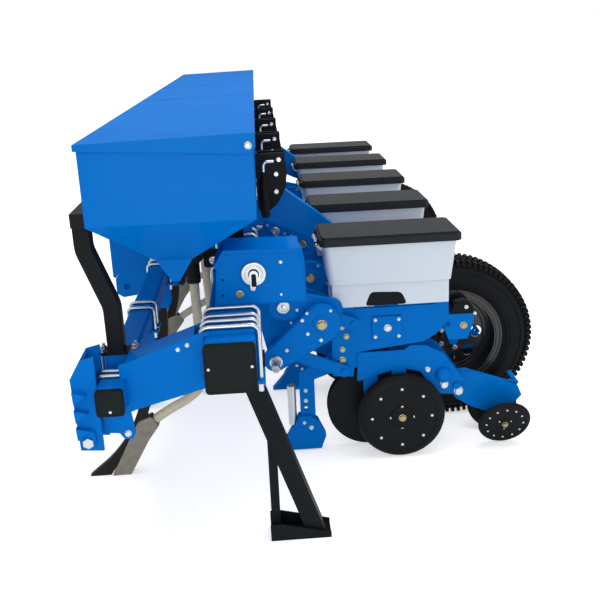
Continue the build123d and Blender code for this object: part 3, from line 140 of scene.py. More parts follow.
def piece(name, part, finish, body, smooth=35):
    """A Blender object from (points, faces) that rides on a body. Edges that turn by less than
    smooth degrees are shaded smooth."""
    points, quads = part
    mesh = bpy.data.meshes.new(name)
    mesh.vertices.add(len(points))
    mesh.vertices.foreach_set("co", np.ascontiguousarray(points, np.float32).ravel())
    mesh.loops.add(quads.size)
    mesh.loops.foreach_set("vertex_index", np.ascontiguousarray(quads, np.int32).ravel())
    mesh.polygons.add(len(quads))
    mesh.polygons.foreach_set("loop_start", np.arange(0, quads.size, 4, dtype=np.int32))
    mesh.update(calc_edges=True)
    work = bmesh.new()
    work.from_mesh(mesh)
    bmesh.ops.remove_doubles(work, verts=work.verts, dist=1e-6)
    bmesh.ops.dissolve_degenerate(work, edges=work.edges, dist=1e-7)
    bmesh.ops.recalc_face_normals(work, faces=work.faces)
    work.to_mesh(mesh)
    work.free()
    mesh.shade_smooth()
    mesh.set_sharp_from_angle(angle=radians(smooth))
    mesh.materials.append(finish)
    made = bpy.data.objects.new(name, mesh)
    bpy.context.collection.objects.link(made)
    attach(made, body)
    return made


def lathe(profile, segments=48, corners=0):
    """Surface turned about +Z from (radius, height) rows, closed at both ends. With corners,
    each radius is divided by the cosine of the angle to the nearest flat, as on a hexagon."""
    profile = np.array([(0, profile[0][1]), *profile, (0, profile[-1][1])], float)
    angle = np.arange(segments) * 2 * pi / segments
    reach = np.ones(segments)
    if corners:
        reach = 1 / np.cos((angle + pi / corners) % (2 * pi / corners) - pi / corners)
    radius = profile[:, :1] * reach
    height = np.broadcast_to(profile[:, 1:], radius.shape)
    ring = np.stack([radius * np.cos(angle), radius * np.sin(angle), height], axis=-1)
    return grid(ring * MM)


# %% [markdown]
# ## Fertiliser hoses
# Each hose is a ribbed cream plastic tube of 38 mm that leaves a meter's spout, sags forward
# under the front arm and ends on the tine's boot. Its middle line is a smooth spline through
# the route's points, and the ribs are a wave in the radius along its length.

# %% Hose sizes and lines
HOSE_RADIUS = 19
HOSE_RIB = 1.3
HOSE_PITCH = 8.0
SPOUT_X, SPOUT_Z = -158, 727.7
BOOT_X, BOOT_Z = -338.7, 219.2


def spline_points(route, name):
    """Points read from a spline of order 3 that has the route's points as control points."""
    curve = bpy.data.curves.new(name, "CURVE")
    curve.dimensions = "3D"
    curve.resolution_u = 24
    spline = curve.splines.new("NURBS")
    spline.points.add(len(route) - 1)
    spline.points.foreach_set("co", np.c_[route, np.ones(len(route))].ravel())
    spline.order_u = 3
    spline.use_endpoint_u = True
    holder = bpy.data.objects.new(name, curve)
    bpy.context.collection.objects.link(holder)
    line = bpy.data.meshes.new_from_object(holder)
    points = np.empty(len(line.vertices) * 3, np.float32)
    line.vertices.foreach_get("co", points)
    bpy.data.objects.remove(holder)
    bpy.data.meshes.remove(line)
    return points.reshape(-1, 3).astype(float)


def along(points, step):
    """Points a fixed step apart along a line, and how far along each one lies, in metres."""
    run = np.r_[0, np.cumsum(np.linalg.norm(np.diff(points, axis=0), axis=1))]
    places = np.linspace(0, run[-1], int(run[-1] / step) + 1)
    return np.stack([np.interp(places, run, points[:, k]) for k in range(3)], 1), places


def tube(points, radius, segments=24, helper=(0, 1, 0)):
    """Tube round a line. The ring at each point stands square to the line's direction."""
    direction = np.gradient(points, axis=0)
    direction /= np.linalg.norm(direction, axis=1, keepdims=True)
    first = np.cross(direction, helper)
    first /= np.linalg.norm(first, axis=1, keepdims=True)
    second = np.cross(direction, first)
    angle = np.arange(segments) * 2 * pi / segments
    ring = np.cos(angle)[:, None] * first[:, None] + np.sin(angle)[:, None] * second[:, None]
    radius = np.broadcast_to(radius, len(points))
    wall = points[:, None] + radius[:, None, None] * ring
    start, end = (points[[k], None].repeat(segments, 1) for k in (0, -1))
    return grid(np.concatenate([start, wall, end]))


# %% [markdown]
# ## Finishes
# Each finish starts from what the real surface is: powder-coated steel, moulded or rotomoulded
# plastic, zinc plate, rubber. Patterns are sized in millimetres on Object coordinates. A Bevel
# node rounds the sheared edges of plates, so that they catch the light as painted edges do.


# %% Node helper
def colour(code):
    """An sRGB hex colour as linear red, green, blue and alpha."""
    share = np.array([int(code[k : k + 2], 16) for k in (0, 2, 4)]) / 255
    linear = np.where(share > 0.04045, ((share + 0.055) / 1.055) ** 2.4, share / 12.92)
    return (*linear.tolist(), 1.0)


def node(tree, kind, values=None, links=None):
    """Adds a node, sets its properties or sockets by name, and links its sockets."""
    made = tree.nodes.new(kind)
    for key, value in (values or {}).items():
        if isinstance(key, int) or key in made.inputs:
            made.inputs[key].default_value = value
        else:
            setattr(made, key, value)
    for key, source in (links or {}).items():
        tree.links.new(source, made.inputs[key])
    return made


def surface(name, base, second, patch_mm, grain_mm, grain_mm_high, rough, values=None, edge_mm=0):
    """A finish whose colour drifts between two hex colours in patches of patch_mm, and whose
    roughness drifts with it between the two values of rough. Its bump has grains grain_mm wide
    and grain_mm_high deep, and its edges are rounded by edge_mm."""
    material = bpy.data.materials.new(name)
    material.use_nodes = True
    tree = material.node_tree
    shader = tree.nodes["Principled BSDF"]
    for key, value in (values or {}).items():
        shader.inputs[key].default_value = value
    place = node(tree, "ShaderNodeTexCoord").outputs["Object"]
    patches = node(
        tree,
        "ShaderNodeTexNoise",
        {"Scale": 1000 / patch_mm, "Detail": 4.0},
        {"Vector": place},
    )
    drift = node(
        tree,
        "ShaderNodeMix",
        {"data_type": "RGBA", 6: colour(base), 7: colour(second)},
        {0: patches.outputs["Fac"]},
    )
    tree.links.new(drift.outputs[2], shader.inputs["Base Color"])
    spread = node(
        tree,
        "ShaderNodeMapRange",
        {"To Min": rough[0], "To Max": rough[1]},
        {"Value": patches.outputs["Fac"]},
    )
    tree.links.new(spread.outputs["Result"], shader.inputs["Roughness"])
    grain = node(
        tree,
        "ShaderNodeTexNoise",
        {"Scale": 1000 / grain_mm, "Detail": 2.0},
        {"Vector": place},
    )
    bump = node(
        tree,
        "ShaderNodeBump",
        {"Strength": 1.0, "Distance": grain_mm_high * MM},
        {"Height": grain.outputs["Fac"]},
    )
    if edge_mm:
        bevel = node(tree, "ShaderNodeBevel", {"samples": 4, "Radius": edge_mm * MM})
        tree.links.new(bevel.outputs["Normal"], bump.inputs["Normal"])
    tree.links.new(bump.outputs["Normal"], shader.inputs["Normal"])
    return material


# %% Finishes
# Columns: name, base, second colour, patch, grain, depth of grain, roughness, shader values, edge.
# Grains under a millimetre don't show in the render, so each is drawn 1 mm wide or more.
PAINT = {"Specular IOR Level": 0.0, "Coat Weight": 0.07, "Coat Roughness": 0.16}
DULL = {"Specular IOR Level": 0.02, "Coat Weight": 0.08, "Coat Roughness": 0.35}
METAL = {"Metallic": 1.0}
PART_RUST = {"Metallic": 0.35}
ENAMEL = {"Coat Weight": 0.2}
THIN_WALL = {"Subsurface Weight": 0.06}
# powder coat on sheet steel: one even colour under a thin clear gloss, with an orange-peel grain
blue_powder_coat = surface(
    "blue_powder_coat", "0068BC", "0070C8", 240, 3, 0.03, (0.34, 0.44), PAINT, 2.0
)
black_powder_coat = surface(
    "black_powder_coat", "14171A", "1B1E20", 180, 2, 0.05, (0.42, 0.55), DULL, 2.0
)
# moulded plastics: a satin face with fine grain and rounder edges than steel has
black_moulded_cap = surface(
    "black_moulded_cap", "161B1C", "1D2223", 90, 1.5, 0.08, (0.5, 0.6), DULL, 2.0
)
grey_lid_plastic = surface(
    "grey_lid_plastic", "232629", "2C2F32", 120, 1.8, 0.08, (0.42, 0.55), DULL, 3.0
)
moulded_black = surface("moulded_black", "0F1112", "1A1C1E", 60, 1.4, 0.06, (0.4, 0.55), DULL, 1.0)
# rotomoulded polyethylene: milky, lit a little from within, with soft edges
white_polyethylene = surface(
    "white_polyethylene", "C9D1DC", "D3DAE3", 160, 2.5, 0.04, (0.35, 0.45), THIN_WALL, 4.0
)
# zinc plate, clear or yellow passivated: bright metal whose sheen changes over a few centimetres
zinc_plate = surface("zinc_plate", "C4C8CC", "AEB3B8", 30, 1, 0.02, (0.22, 0.38), METAL, 0.8)
yellow_zinc = surface("yellow_zinc", "A29B78", "8A8462", 20, 1, 0.02, (0.25, 0.4), METAL)
# vulcanised rubber: near black and matt, smoother on the gauge and press wheels
tyre_rubber = surface("tyre_rubber", "131516", "1C1E20", 60, 1.2, 0.06, (0.62, 0.78), DULL)
wheel_rubber = surface("wheel_rubber", "141617", "1C1E20", 70, 1.4, 0.05, (0.5, 0.62), DULL, 1.5)
# stoved enamel on the pressed rims: the glossiest black on the machine
rim_enamel = surface("rim_enamel", "0E1011", "151719", 80, 2, 0.02, (0.25, 0.35), ENAMEL, 1.5)
# ribbed PVC hose: cream, matt and slightly uneven in colour
hose_plastic = surface("hose_plastic", "D8D0BA", "C3BAA2", 35, 1.2, 0.04, (0.55, 0.7), DULL)
# spring steel of the tines with worn black paint, and boots scoured bare by earth
worn_shank = surface("worn_shank", "1B1C1D", "2E2C2A", 40, 2.2, 0.15, (0.45, 0.65), DULL, 1.5)
worn_boot_steel = surface(
    "worn_boot_steel", "8F8A80", "6A655D", 26, 1.6, 0.2, (0.5, 0.75), PART_RUST, 1.5
)
FINISH_OF_SLOT = {
    "blue_paint": blue_powder_coat,
    "black_paint": black_powder_coat,
    "black_plastic": black_moulded_cap,
    "lid_plastic": grey_lid_plastic,
    "white_plastic": white_polyethylene,
    "zinc_steel": zinc_plate,
    "tyre_rubber": tyre_rubber,
    "wheel_black": wheel_rubber,
    "hose_cream": hose_plastic,
    "dark_shank": worn_shank,
}
for entry in frame["record"]["subparts"]:
    mesh = frame["nodes"][entry["node"]].data
    mesh.materials.clear()
    mesh.materials.append(FINISH_OF_SLOT[entry["material_slot"]])

# %% Hoses
for number, spout_y in enumerate(ROW_Y, 1):
    boot_y = spout_y - TINE_ASIDE
    route = at(
        [SPOUT_X, SPOUT_X, -146, -150, -210, BOOT_X + 48, BOOT_X],
        [spout_y, spout_y, spout_y - 20, spout_y - 60, boot_y, boot_y, boot_y],
        [SPOUT_Z, 600, 430, 330, 292, BOOT_Z + 33, BOOT_Z],
    )
    line, run = along(spline_points(route, "hose_line"), 2 * MM)
    ribs = HOSE_RADIUS - HOSE_RIB + HOSE_RIB * np.cos(run / HOSE_PITCH * 1000 * 2 * pi)
    hose = piece(f"ribbed_hose_{number}", tube(line, ribs * MM), hose_plastic, "seeder", smooth=60)
    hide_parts(f"fertiliser_hose_{number}")
    print(hose.name, round(float(run[-1]), 3), "m")

# %% [markdown]
# ## Bolts and rivets
# A bolt is a washer and a six-sided head with a rounded top; a rivet is a low dome. All bolts
# of one kind on one body are one mesh: the head's points are turned into every place at once.

# %% Bolt shapes
# (radius, height) rows for a head of radius 1
HEX_BOLT = joined([
    lathe([(1.15, 0), (1.15, 0.14), (1.08, 0.18)], 20),
    lathe([(0.866, 0.16), (0.866, 0.72), (0.78, 0.8)], 24, corners=6),
])
RIVET = lathe([(1, 0), (0.96, 0.28), (0.75, 0.5), (0.4, 0.62)], 16)


def bolts(name, shape, rows, finish, body):
    """One piece from rows of x, y, z of a head's seat, its normal and its radius, in mm."""
    rows = np.array(rows, float)
    frames = frames_at(at(rows[:, 0], rows[:, 1], rows[:, 2]), rows[:, 3:6])
    frames[:, :3, :3] *= rows[:, 6, None, None]
    return piece(name, copies(shape, frames), finish, body)


def both_faces(table, half):
    """Rows for bolts on both outer faces of a plate pair, from (x, z, radius) rows."""
    return [
        (x, row_y + end * half, z, 0, end, 0, radius)
        for row_y in ROW_Y
        for end in SIDES
        for x, z, radius in table
    ]


# %% Bolts on the row units
# x, z and radius of each head, by the face that it sits on
PLATE_FACE, RAISED_FACE = 64, 72
bolts(
    "square_plate_bolts",
    HEX_BOLT,
    both_faces(
        [(521, 556, 6), (611, 555, 6), (611, 487, 6), (520, 488, 6), (568, 522, 13)], RAISED_FACE
    ),
    zinc_plate,
    "seeder",
)
bolts(
    "front_strip_bolts",
    HEX_BOLT,
    both_faces(
        [(393, 580, 11), (392, 535, 9), (408, 497, 10), (392, 445, 10), (390, 402, 12)],
        RAISED_FACE,
    ),
    yellow_zinc,
    "seeder",
)
bolts("rear_lug_bolts", HEX_BOLT, both_faces([(864, 512, 13)], PLATE_FACE), yellow_zinc, "seeder")
bolts(
    "lower_frame_bolts",
    HEX_BOLT,
    both_faces(
        [(724, 337, 10), (789, 270, 15), (847, 239, 16), (874, 585, 7), (908, 558, 6)], PLATE_FACE
    ),
    zinc_plate,
    "seeder",
)

# %% [markdown]
# ## Gauge wheels and press wheels
# The wheels are smooth-faced rubber tyres riveted on plain discs: eight rivets near the rim,
# four near the hub and a yellow hub bolt on the gauge wheels, more and smaller ones on the
# press wheels. A turned surface gives their round edge.


# %% Turned wheels
def ring_of(count, radius, height, size, start=0.0):
    """Rows of x, y, z, size for a ring of heads on a wheel's face."""
    angle = np.arange(count) * 2 * pi / count + start
    return [(radius * cos(a), radius * sin(a), height, size) for a in angle]


def seats_for(rows):
    """Frames on a wheel for heads from rows of x, y, z, size."""
    rows = np.array(rows, float)
    frames = plain_frames(len(rows))
    frames[:, :3, :3] *= rows[:, 3, None, None]
    frames[:, :3, 3] = rows[:, :3] * MM
    return frames


def wheel_piece(name, profile, heads, hub_bolt, centre, axle, body):
    """A turned wheel on its own body, with its rivets and its hub bolt as two more pieces."""
    wheel_frame = frames_at(at(*np.array(centre, float)[:, None]), [axle])
    turned = copies(lathe(profile, 96), wheel_frame)
    wheel = piece(name, turned, wheel_rubber, body, smooth=30)
    for ending, shape, rows, finish in (
        ("_rivets", RIVET, heads, zinc_plate),
        ("_hub_bolt", HEX_BOLT, [hub_bolt], yellow_zinc),
    ):
        part = copies(shape, wheel_frame @ seats_for(rows))
        piece(name + ending, part, finish, body)
    return wheel


# (radius, distance along the axle) of each wheel's outline, from the inner face to the outer
GAUGE_PROFILE = [
    (12.2, -29), (128, -29), (138, -26), (158, -20), (169, -12), (172, -5), (172, 6), (169, 14),
    (162, 21), (150, 26), (141, 28), (138, 25.5), (134, 25), (46, 25), (44, 29), (28, 30),
]  # fmt: skip
PRESS_PROFILE = [
    (8.2, -13), (88, -13), (98, -8), (104, -3), (104.6, 2), (101, 8), (94, 12), (88, 12.5),
    (86, 10.5), (30, 10.5), (28, 13),
]  # fmt: skip
GAUGE_X, GAUGE_ASIDE, GAUGE_Z = 611, 106, 172
PRESS_X, PRESS_ASIDE, PRESS_Z = 1026, 92, 103.11
PRESS_TILT = radians(20)
GAUGE_HEADS = ring_of(8, 117, 25, 6.5) + ring_of(4, 43, 25, 6.5)
PRESS_HEADS = ring_of(12, 74, 10.5, 4.5) + ring_of(3, 26, 10.5, 4.5, 0.5)
GAUGE_HUB_BOLT, PRESS_HUB_BOLT = (0, 0, 30, 13), (0, 0, 13, 11)
for number, row_y in enumerate(ROW_Y, 1):
    for end, name in zip(SIDES, ("left", "right")):
        gauge = wheel_piece(
            f"gauge_wheel_{name}_{number}_face",
            GAUGE_PROFILE,
            GAUGE_HEADS,
            GAUGE_HUB_BOLT,
            (GAUGE_X, row_y + end * GAUGE_ASIDE, GAUGE_Z),
            (0, end, 0),
            f"gauge_wheels_{number}",
        )
        if end > 0:
            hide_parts(f"gauge_wheels_{number}")
        press = wheel_piece(
            f"press_wheel_{name}_{number}_face",
            PRESS_PROFILE,
            PRESS_HEADS,
            PRESS_HUB_BOLT,
            (PRESS_X, row_y + end * PRESS_ASIDE, PRESS_Z),
            (0, end * cos(PRESS_TILT), -sin(PRESS_TILT)),
            f"press_wheel_{name}_{number}",
        )
        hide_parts(f"press_wheel_{name}_{number}")

# %% [markdown]
# ## Ground wheels
# The ground wheels carry a black tyre of 690 mm with a lugged tread and a ribbed sidewall. The
# carcass is turned; one tread block is repeated round each shoulder and another twice down the
# middle. Pressed ridges and five wheel nuts finish the rim.

# %% Tyres
# (radius, distance along the axle) of one half of the carcass, from the bead to the middle
HALF_TYRE = [
    (193, -62), (200, -68), (214, -72), (226, -78), (236, -82), (262, -83.5), (288, -82),
    (303, -76), (318, -66), (327, -52), (331, -30), (332, 0),
]  # fmt: skip
TYRE_PROFILE = HALF_TYRE + [(radius, -aside) for radius, aside in HALF_TYRE[-2::-1]]
WHEEL_X, WHEEL_ASIDE, WHEEL_Z = 890, 900, 345
TREAD_COUNT = 84


def tyre_shell(profile, segments=120):
    """Ring turned about +Z from a closed (radius, height) outline."""
    profile = np.array(profile, float)
    angle = np.arange(segments) * 2 * pi / segments
    radius, height = profile[:, :1], np.broadcast_to(profile[:, 1:], (len(profile), segments))
    ring = np.stack([radius * np.cos(angle), radius * np.sin(angle), height], axis=-1)
    return grid(ring * MM, close_rows=True)


def tread_block(length, width, foot, top, slope):
    """Block from radius foot to radius top, where it is narrowed to the share slope. It is a
    stack of four-cornered rings in a frame whose first axis points outwards, second along the
    tread and third along the axle."""
    corner = np.array([(-1, -1), (1, -1), (1, 1), (-1, 1)]) / 2
    levels = np.array([(foot, 0), (foot, 1), (top, slope), (top, 0)])
    ring = levels[:, None, 1:] * corner[None] * (length, width)
    height = np.broadcast_to(levels[:, None, :1], (4, 4, 1))
    return grid(np.concatenate([height, ring], axis=-1) * MM)


def round_axle(count, height, start=0.0, skew=0.0):
    """Frames turned round +Z and lifted to a height, each skewed about its outward axis."""
    angle = (np.arange(count) + start) * 2 * pi / count
    frames = plain_frames(count)
    out = np.stack([np.cos(angle), np.sin(angle), 0 * angle], -1)
    tangent = np.stack([-np.sin(angle), np.cos(angle), 0 * angle], -1)
    axle = np.broadcast_to((0, 0, 1.0), out.shape)
    frames[:, :3, 0] = out
    frames[:, :3, 1] = tangent * cos(skew) + axle * sin(skew)
    frames[:, :3, 2] = axle * cos(skew) - tangent * sin(skew)
    frames[:, 2, 3] = height * MM
    return frames


tyre_form = [tyre_shell(TYRE_PROFILE)]
shoulder = tread_block(16, 36, 318, 341, 0.84)
inner = tread_block(17, 26, 328, 344.4, 0.84)
for end in SIDES:
    turns = 0.25 * end
    tyre_form.append(copies(shoulder, round_axle(TREAD_COUNT, end * 56, turns, 0.12 * end)))
    tyre_form.append(copies(inner, round_axle(TREAD_COUNT, end * 20, 0.5 + turns, -0.25 * end)))
    for radius in (232, 246, 292):
        ridge = [(radius - 2, 80), (radius - 1, 84.6), (radius + 1, 84.6), (radius + 2, 80)]
        tyre_form.append(tyre_shell([(r, end * h) for r, h in ridge]))
tyre_form = joined(tyre_form)
# radius of each ridge pressed into the rim, and how far along the axle its foot lies
RIM_RIDGES = [(206, 71), (190, 71), (166, 0), (150, 0), (86, 0), (72, 0)]
ridge_form = joined([
    tyre_shell([(r - 4, h), (r - 2, h + 3), (r + 2, h + 3), (r + 4, h)]) for r, h in RIM_RIDGES
])
nut_seats = seats_for(ring_of(5, 52, 47, 9))
for end, name in zip(SIDES, ("left", "right")):
    wheel_frame = frames_at(at([WHEEL_X], [end * WHEEL_ASIDE], [WHEEL_Z]), [(0, end, 0)])
    body = f"ground_wheel_{name}"
    tyre = piece(f"tyre_{name}", copies(tyre_form, wheel_frame), tyre_rubber, body, smooth=40)
    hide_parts(f"ground_tyre_{name}")
    frame["nodes"][f"ground_rim_{name}"].data.materials[0] = rim_enamel
    ridges = copies(ridge_form, wheel_frame)
    ridges = piece(f"rim_ridges_{name}", ridges, rim_enamel, body, smooth=60)
    nuts = copies(HEX_BOLT, wheel_frame @ nut_seats)
    piece(f"wheel_nuts_{name}", nuts, zinc_plate, body)

# %% [markdown]
# ## Flat pieces
# Plates, caps and covers start from an outline seen from the side. Each row of the surface is
# that outline drawn in towards its middle by some millimetres, at some distance along y, so a
# raised cap or a rounded plate needs only a short table of rows.


# %% Outlines and slabs
def rounded(outline, radius, steps=6):
    """An (x, z) outline with each corner replaced by a quadratic curve that begins radius away
    from the corner: (1 - t)^2 before + t^2 after, measured from the corner."""
    corner = np.array(outline, float)
    before, after = np.roll(corner, 1, 0) - corner, np.roll(corner, -1, 0) - corner
    before *= radius / np.linalg.norm(before, axis=1, keepdims=True)
    after *= radius / np.linalg.norm(after, axis=1, keepdims=True)
    share = np.linspace(0, 1, steps)[None, :, None]
    curve = corner[:, None] + before[:, None] * (1 - share) ** 2 + after[:, None] * share**2
    return curve.reshape(-1, 2)


def square(x, z, half):
    """The four corners of an upright square."""
    return [(x - half, z - half), (x + half, z - half), (x + half, z + half), (x - half, z + half)]


def two_circles(start, end, start_radius, end_radius, count=72):
    """Outline of a link with two round ends: in each direction, the circle that reaches further."""
    angle = np.arange(count) * 2 * pi / count
    out = np.stack([np.cos(angle), np.sin(angle)], 1)
    centres, radii = np.array([start, end], float), np.array([start_radius, end_radius], float)
    reach = out @ centres.T + radii
    further = np.argmax(reach, axis=1)
    return centres[further] + radii[further, None] * out


def drawn_in(outline, inset):
    """The outline moved towards its middle."""
    outline = np.array(outline, float)
    inward = outline.mean(0) - outline
    return outline + inward * inset / np.linalg.norm(inward, axis=1, keepdims=True)


def insets(outline, rows):
    """The outline drawn in and given its y, as (x, z, y) points, once for each (inset, y) row."""
    return [np.c_[drawn_in(outline, inset), np.full(len(outline), y)] for inset, y in rows]


def slab(outline, rows):
    """Plate whose (inset, y) rows are the outline drawn in, closed to its middle at both ends."""
    middle = np.array(outline, float).mean(0)
    ends = [np.tile((*middle, y), (len(outline), 1)) for y in (rows[0][1], rows[-1][1])]
    ring = np.stack([ends[0], *insets(outline, rows), ends[1]])
    return grid(at(ring[..., 0], ring[..., 2], ring[..., 1]))


def border(outline, width, start, end):
    """Raised rim of a width along an outline, between two values of y."""
    ring = np.stack(insets(outline, [(0, start), (0, end), (width, end), (width, start)]))
    return grid(at(ring[..., 0], ring[..., 2], ring[..., 1]), close_rows=True)


def moved(part, y_values):
    """The part once at each distance along y, in mm."""
    frames = plain_frames(len(y_values))
    frames[:, 1, 3] = np.asarray(y_values, float) * MM
    return copies(part, frames)


# %% [markdown]
# ## Beam ends
# The plastic caps have a raised edge and small screws. The screws and the bolts of the arms and
# marker brackets are zinc-plated.

# %% Caps
BEAM_Z = 717
FRONT_X, FRONT_Z = -348, 634
CAP_FACE, ARM_FACE, MARKER_FACE = 2056, 1980, 2015
caps = []
# columns: x and z of the middle, half the width, length that each corner takes
for x, z, half, corner in ((0, BEAM_Z, 73, 17), (FRONT_X, FRONT_Z, 39, 12)):
    outline = rounded(square(x, z, half), corner)
    for end in SIDES:
        rows = [(0, CAP_FACE - 1), (1.5, CAP_FACE + 2), (6, CAP_FACE + 2.5), (8, CAP_FACE + 0.8)]
        caps.append(slab(outline, [(inset, end * y) for inset, y in rows]))
caps = piece("beam_end_caps", joined(caps), black_moulded_cap, "seeder", smooth=30)

cap_screws = [
    (x, end * (CAP_FACE + 0.8), z, 0, end, 0, 5)
    for end in SIDES
    for x, z in ((-62, 720), (62, 722), (FRONT_X, 609))
]
bolts("cap_screws", RIVET, cap_screws, zinc_plate, "seeder")
arm_rows = [
    (x, end * ARM_FACE, z, 0, end, 0, radius)
    for end in SIDES
    for x, z, radius in ((-151, 757, 6), (-123, 769, 6), (-319, 502, 9))
]
bolts("arm_bolts", HEX_BOLT, arm_rows, zinc_plate, "seeder")
marker_rows = [(-428, end * MARKER_FACE, 500, 0, end, 0, 17) for end in SIDES]
bolts("marker_bolts", HEX_BOLT, marker_rows, zinc_plate, "seeder")

# %% [markdown]
# ## U-bolts
# A U-bolt is a bent zinc-plated rod of 16 mm, or 12 mm on the front beam. Its middle line is
# an upright, a quarter turn, the crown, a quarter turn and an upright, and the tube is carried
# along it. Each leg ends in a nut on a washer.


# %% U-bolt rods
def bent_rod(reach, rod, top, bottom, bend):
    """U-shaped tube in the plane y = 0: legs at x = -reach and reach, a rod of that radius, its
    crown at z = top, its ends at z = bottom, and quarter turns of radius bend."""
    angle = np.linspace(0, pi / 2, 9)
    left = np.c_[bend - reach - bend * np.cos(angle), top - bend + bend * np.sin(angle)]
    right = left[::-1] * (-1, 1)
    line = np.concatenate([[(-reach, bottom)], left, right, [(reach, bottom)]])
    points = np.stack([line[:, 0], 0 * line[:, 0], line[:, 1]], 1) * MM
    return tube(points, rod * MM, 14)


def rods_at(part, rows, over=False):
    """Copies of a rod at (x, y, z) rows in mm, or turned over so that its legs point along x."""
    frames = plain_frames(len(rows))
    if over:
        frames[:, :3, :3] = np.array([(0, 0, -1), (0, 1, 0), (1, 0, 0)])
    frames[:, :3, 3] = at(*np.array(rows, float).T)
    return copies(part, frames)


BEAM_LEG, FRONT_LEG = 83.3, 46.3
BEAM_ROD, FRONT_ROD = 8, 6
ARM_BOLT_Y = [y + offset for y in (-1930, -370, 370, 1930) for offset in (-26, 26)]
WHEEL_BOLT_Y = [end * 767 + offset for end in SIDES for offset in (-50, 50)]
STAND_BOLT_Y = [end * 1790 + offset for end in SIDES for offset in (-38, 38)]
ROW_BOLT_Y = [row_y + offset for row_y in ROW_Y for offset in (-52, 52)]
TINE_BOLT_Y = [row_y - TINE_ASIDE + offset for row_y in ROW_Y for offset in (-34, 34)]
END_BOLT_Y = [end * 1942 + offset for end in SIDES for offset in (-18, 18)]
clamp_rod = bent_rod(BEAM_LEG, BEAM_ROD, 810, 602, 22)
stand_rod = bent_rod(BEAM_LEG, BEAM_ROD, 800, 602, 20)
row_rod = bent_rod(BEAM_LEG, BEAM_ROD, 83, -111, 20)
front_rod = bent_rod(FRONT_LEG, FRONT_ROD, 680, 564, 15)
rods = joined([
    rods_at(clamp_rod, [(0, y, 0) for y in ARM_BOLT_Y + WHEEL_BOLT_Y]),
    rods_at(stand_rod, [(0, y, 0) for y in STAND_BOLT_Y]),
    rods_at(row_rod, [(0, y, BEAM_Z) for y in ROW_BOLT_Y], over=True),
    rods_at(front_rod, [(FRONT_X, y, 0) for y in TINE_BOLT_Y + END_BOLT_Y]),
])
smooth_rods = piece("smooth_u_bolts", rods, zinc_plate, "seeder", smooth=50)
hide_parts("u_bolts")

# %% Nuts on the legs
nut_rows = [
    (leg * BEAM_LEG, y, 632, 0, 0, -1, 12)
    for y in ARM_BOLT_Y + WHEEL_BOLT_Y + STAND_BOLT_Y
    for leg in SIDES
]
nut_rows += [(87, y, BEAM_Z + leg * BEAM_LEG, 1, 0, 0, 12) for y in ROW_BOLT_Y for leg in SIDES]
nut_rows += [
    (FRONT_X + leg * FRONT_LEG, y, z, 0, 0, -1, 9)
    for places, z in ((TINE_BOLT_Y, 586), (END_BOLT_Y, 584))
    for y in places
    for leg in SIDES
]
bolts("clamp_nuts", HEX_BOLT, nut_rows, zinc_plate, "seeder")

# %% [markdown]
# ## Speed box and chain cases
# The speed box has a graduated zinc dial with a dark pointer. Below it two flanged chain cases
# take the drive to each row; their rims are a folded edge that catches the light.

# %% Dial
DIAL_X, DIAL_Z, DIAL_FACE = 77, 905, -1752
TICK_RING, TICK_FACE = 26, DIAL_FACE - 1.6
dial_ring = lathe([(38, 0), (38, 1.5), (36.5, 2.5), (31, 2.5), (30, 1.8), (19, 1.8)], 64)
dial_frame = frames_at(at([DIAL_X], [DIAL_FACE], [DIAL_Z]), [(0, -1, 0)])
dial = copies(dial_ring, dial_frame)
piece("dial_face", dial, zinc_plate, "seeder", smooth=25)
# one mark round the model's origin, so the beam's place, which at() adds, is taken off again
tick_angle = np.radians(np.arange(-30, 211, 12))
tick_points, tick_faces = slab([(-0.6, -3), (0.6, -3), (0.6, 3), (-0.6, 3)], [(0, 0), (0, -0.6)])
tick = (tick_points - (BEAM_X * MM, 0, 0), tick_faces)
tick_frames = plain_frames(len(tick_angle))
tick_frames[:, 0, 0] = tick_frames[:, 2, 2] = np.sin(tick_angle)
tick_frames[:, 0, 2] = np.cos(tick_angle)
tick_frames[:, 2, 0] = -np.cos(tick_angle)
tick_frames[:, :3, 3] = at(
    DIAL_X + TICK_RING * np.cos(tick_angle), TICK_FACE, DIAL_Z + TICK_RING * np.sin(tick_angle)
)
pointer = slab(
    rounded([(DIAL_X - 8, 868), (DIAL_X + 8, 868), (DIAL_X + 7, 908), (DIAL_X - 7, 908)], 5),
    [(0, DIAL_FACE), (0, DIAL_FACE - 15), (2, DIAL_FACE - 17)],
)
hub_frame = frames_at(at([DIAL_X], [DIAL_FACE - 1.5], [DIAL_Z]), [(0, -1, 0)])
hub = copies(lathe([(17, 0), (17, 4), (12, 6), (11, 9)], 40), hub_frame)
dial_marks = joined([copies(tick, tick_frames), pointer, hub])
piece("dial_pointer", dial_marks, moulded_black, "seeder", smooth=30)

# %% Speed box screws, plug, holes and bead
BOX_FACE = -1740
box_rows = [(163, BOX_FACE, 936, 0, -1, 0, 5), (160, BOX_FACE, 830, 0, -1, 0, 4)]
bolts("speed_box_screws", HEX_BOLT, box_rows, zinc_plate, "seeder")
bolts("speed_box_plug", HEX_BOLT, [(30, BOX_FACE, 838, 0, -1, 0, 11)], yellow_zinc, "seeder")
bolts(
    "speed_box_holes",
    RIVET,
    [(-20, BOX_FACE, 887, 0, -1, 0, 4), (-24, BOX_FACE, 838, 0, -1, 0, 4)],
    moulded_black,
    "seeder",
)

BOX_SIDE = rounded([(-50, 802), (-38, 925), (-8, 972), (222, 968), (238, 940), (240, 802)], 9)
bead = border(BOX_SIDE, 5, BOX_FACE + 0.5, BOX_FACE - 2.5)
piece("speed_box_bead", bead, blue_powder_coat, "seeder")

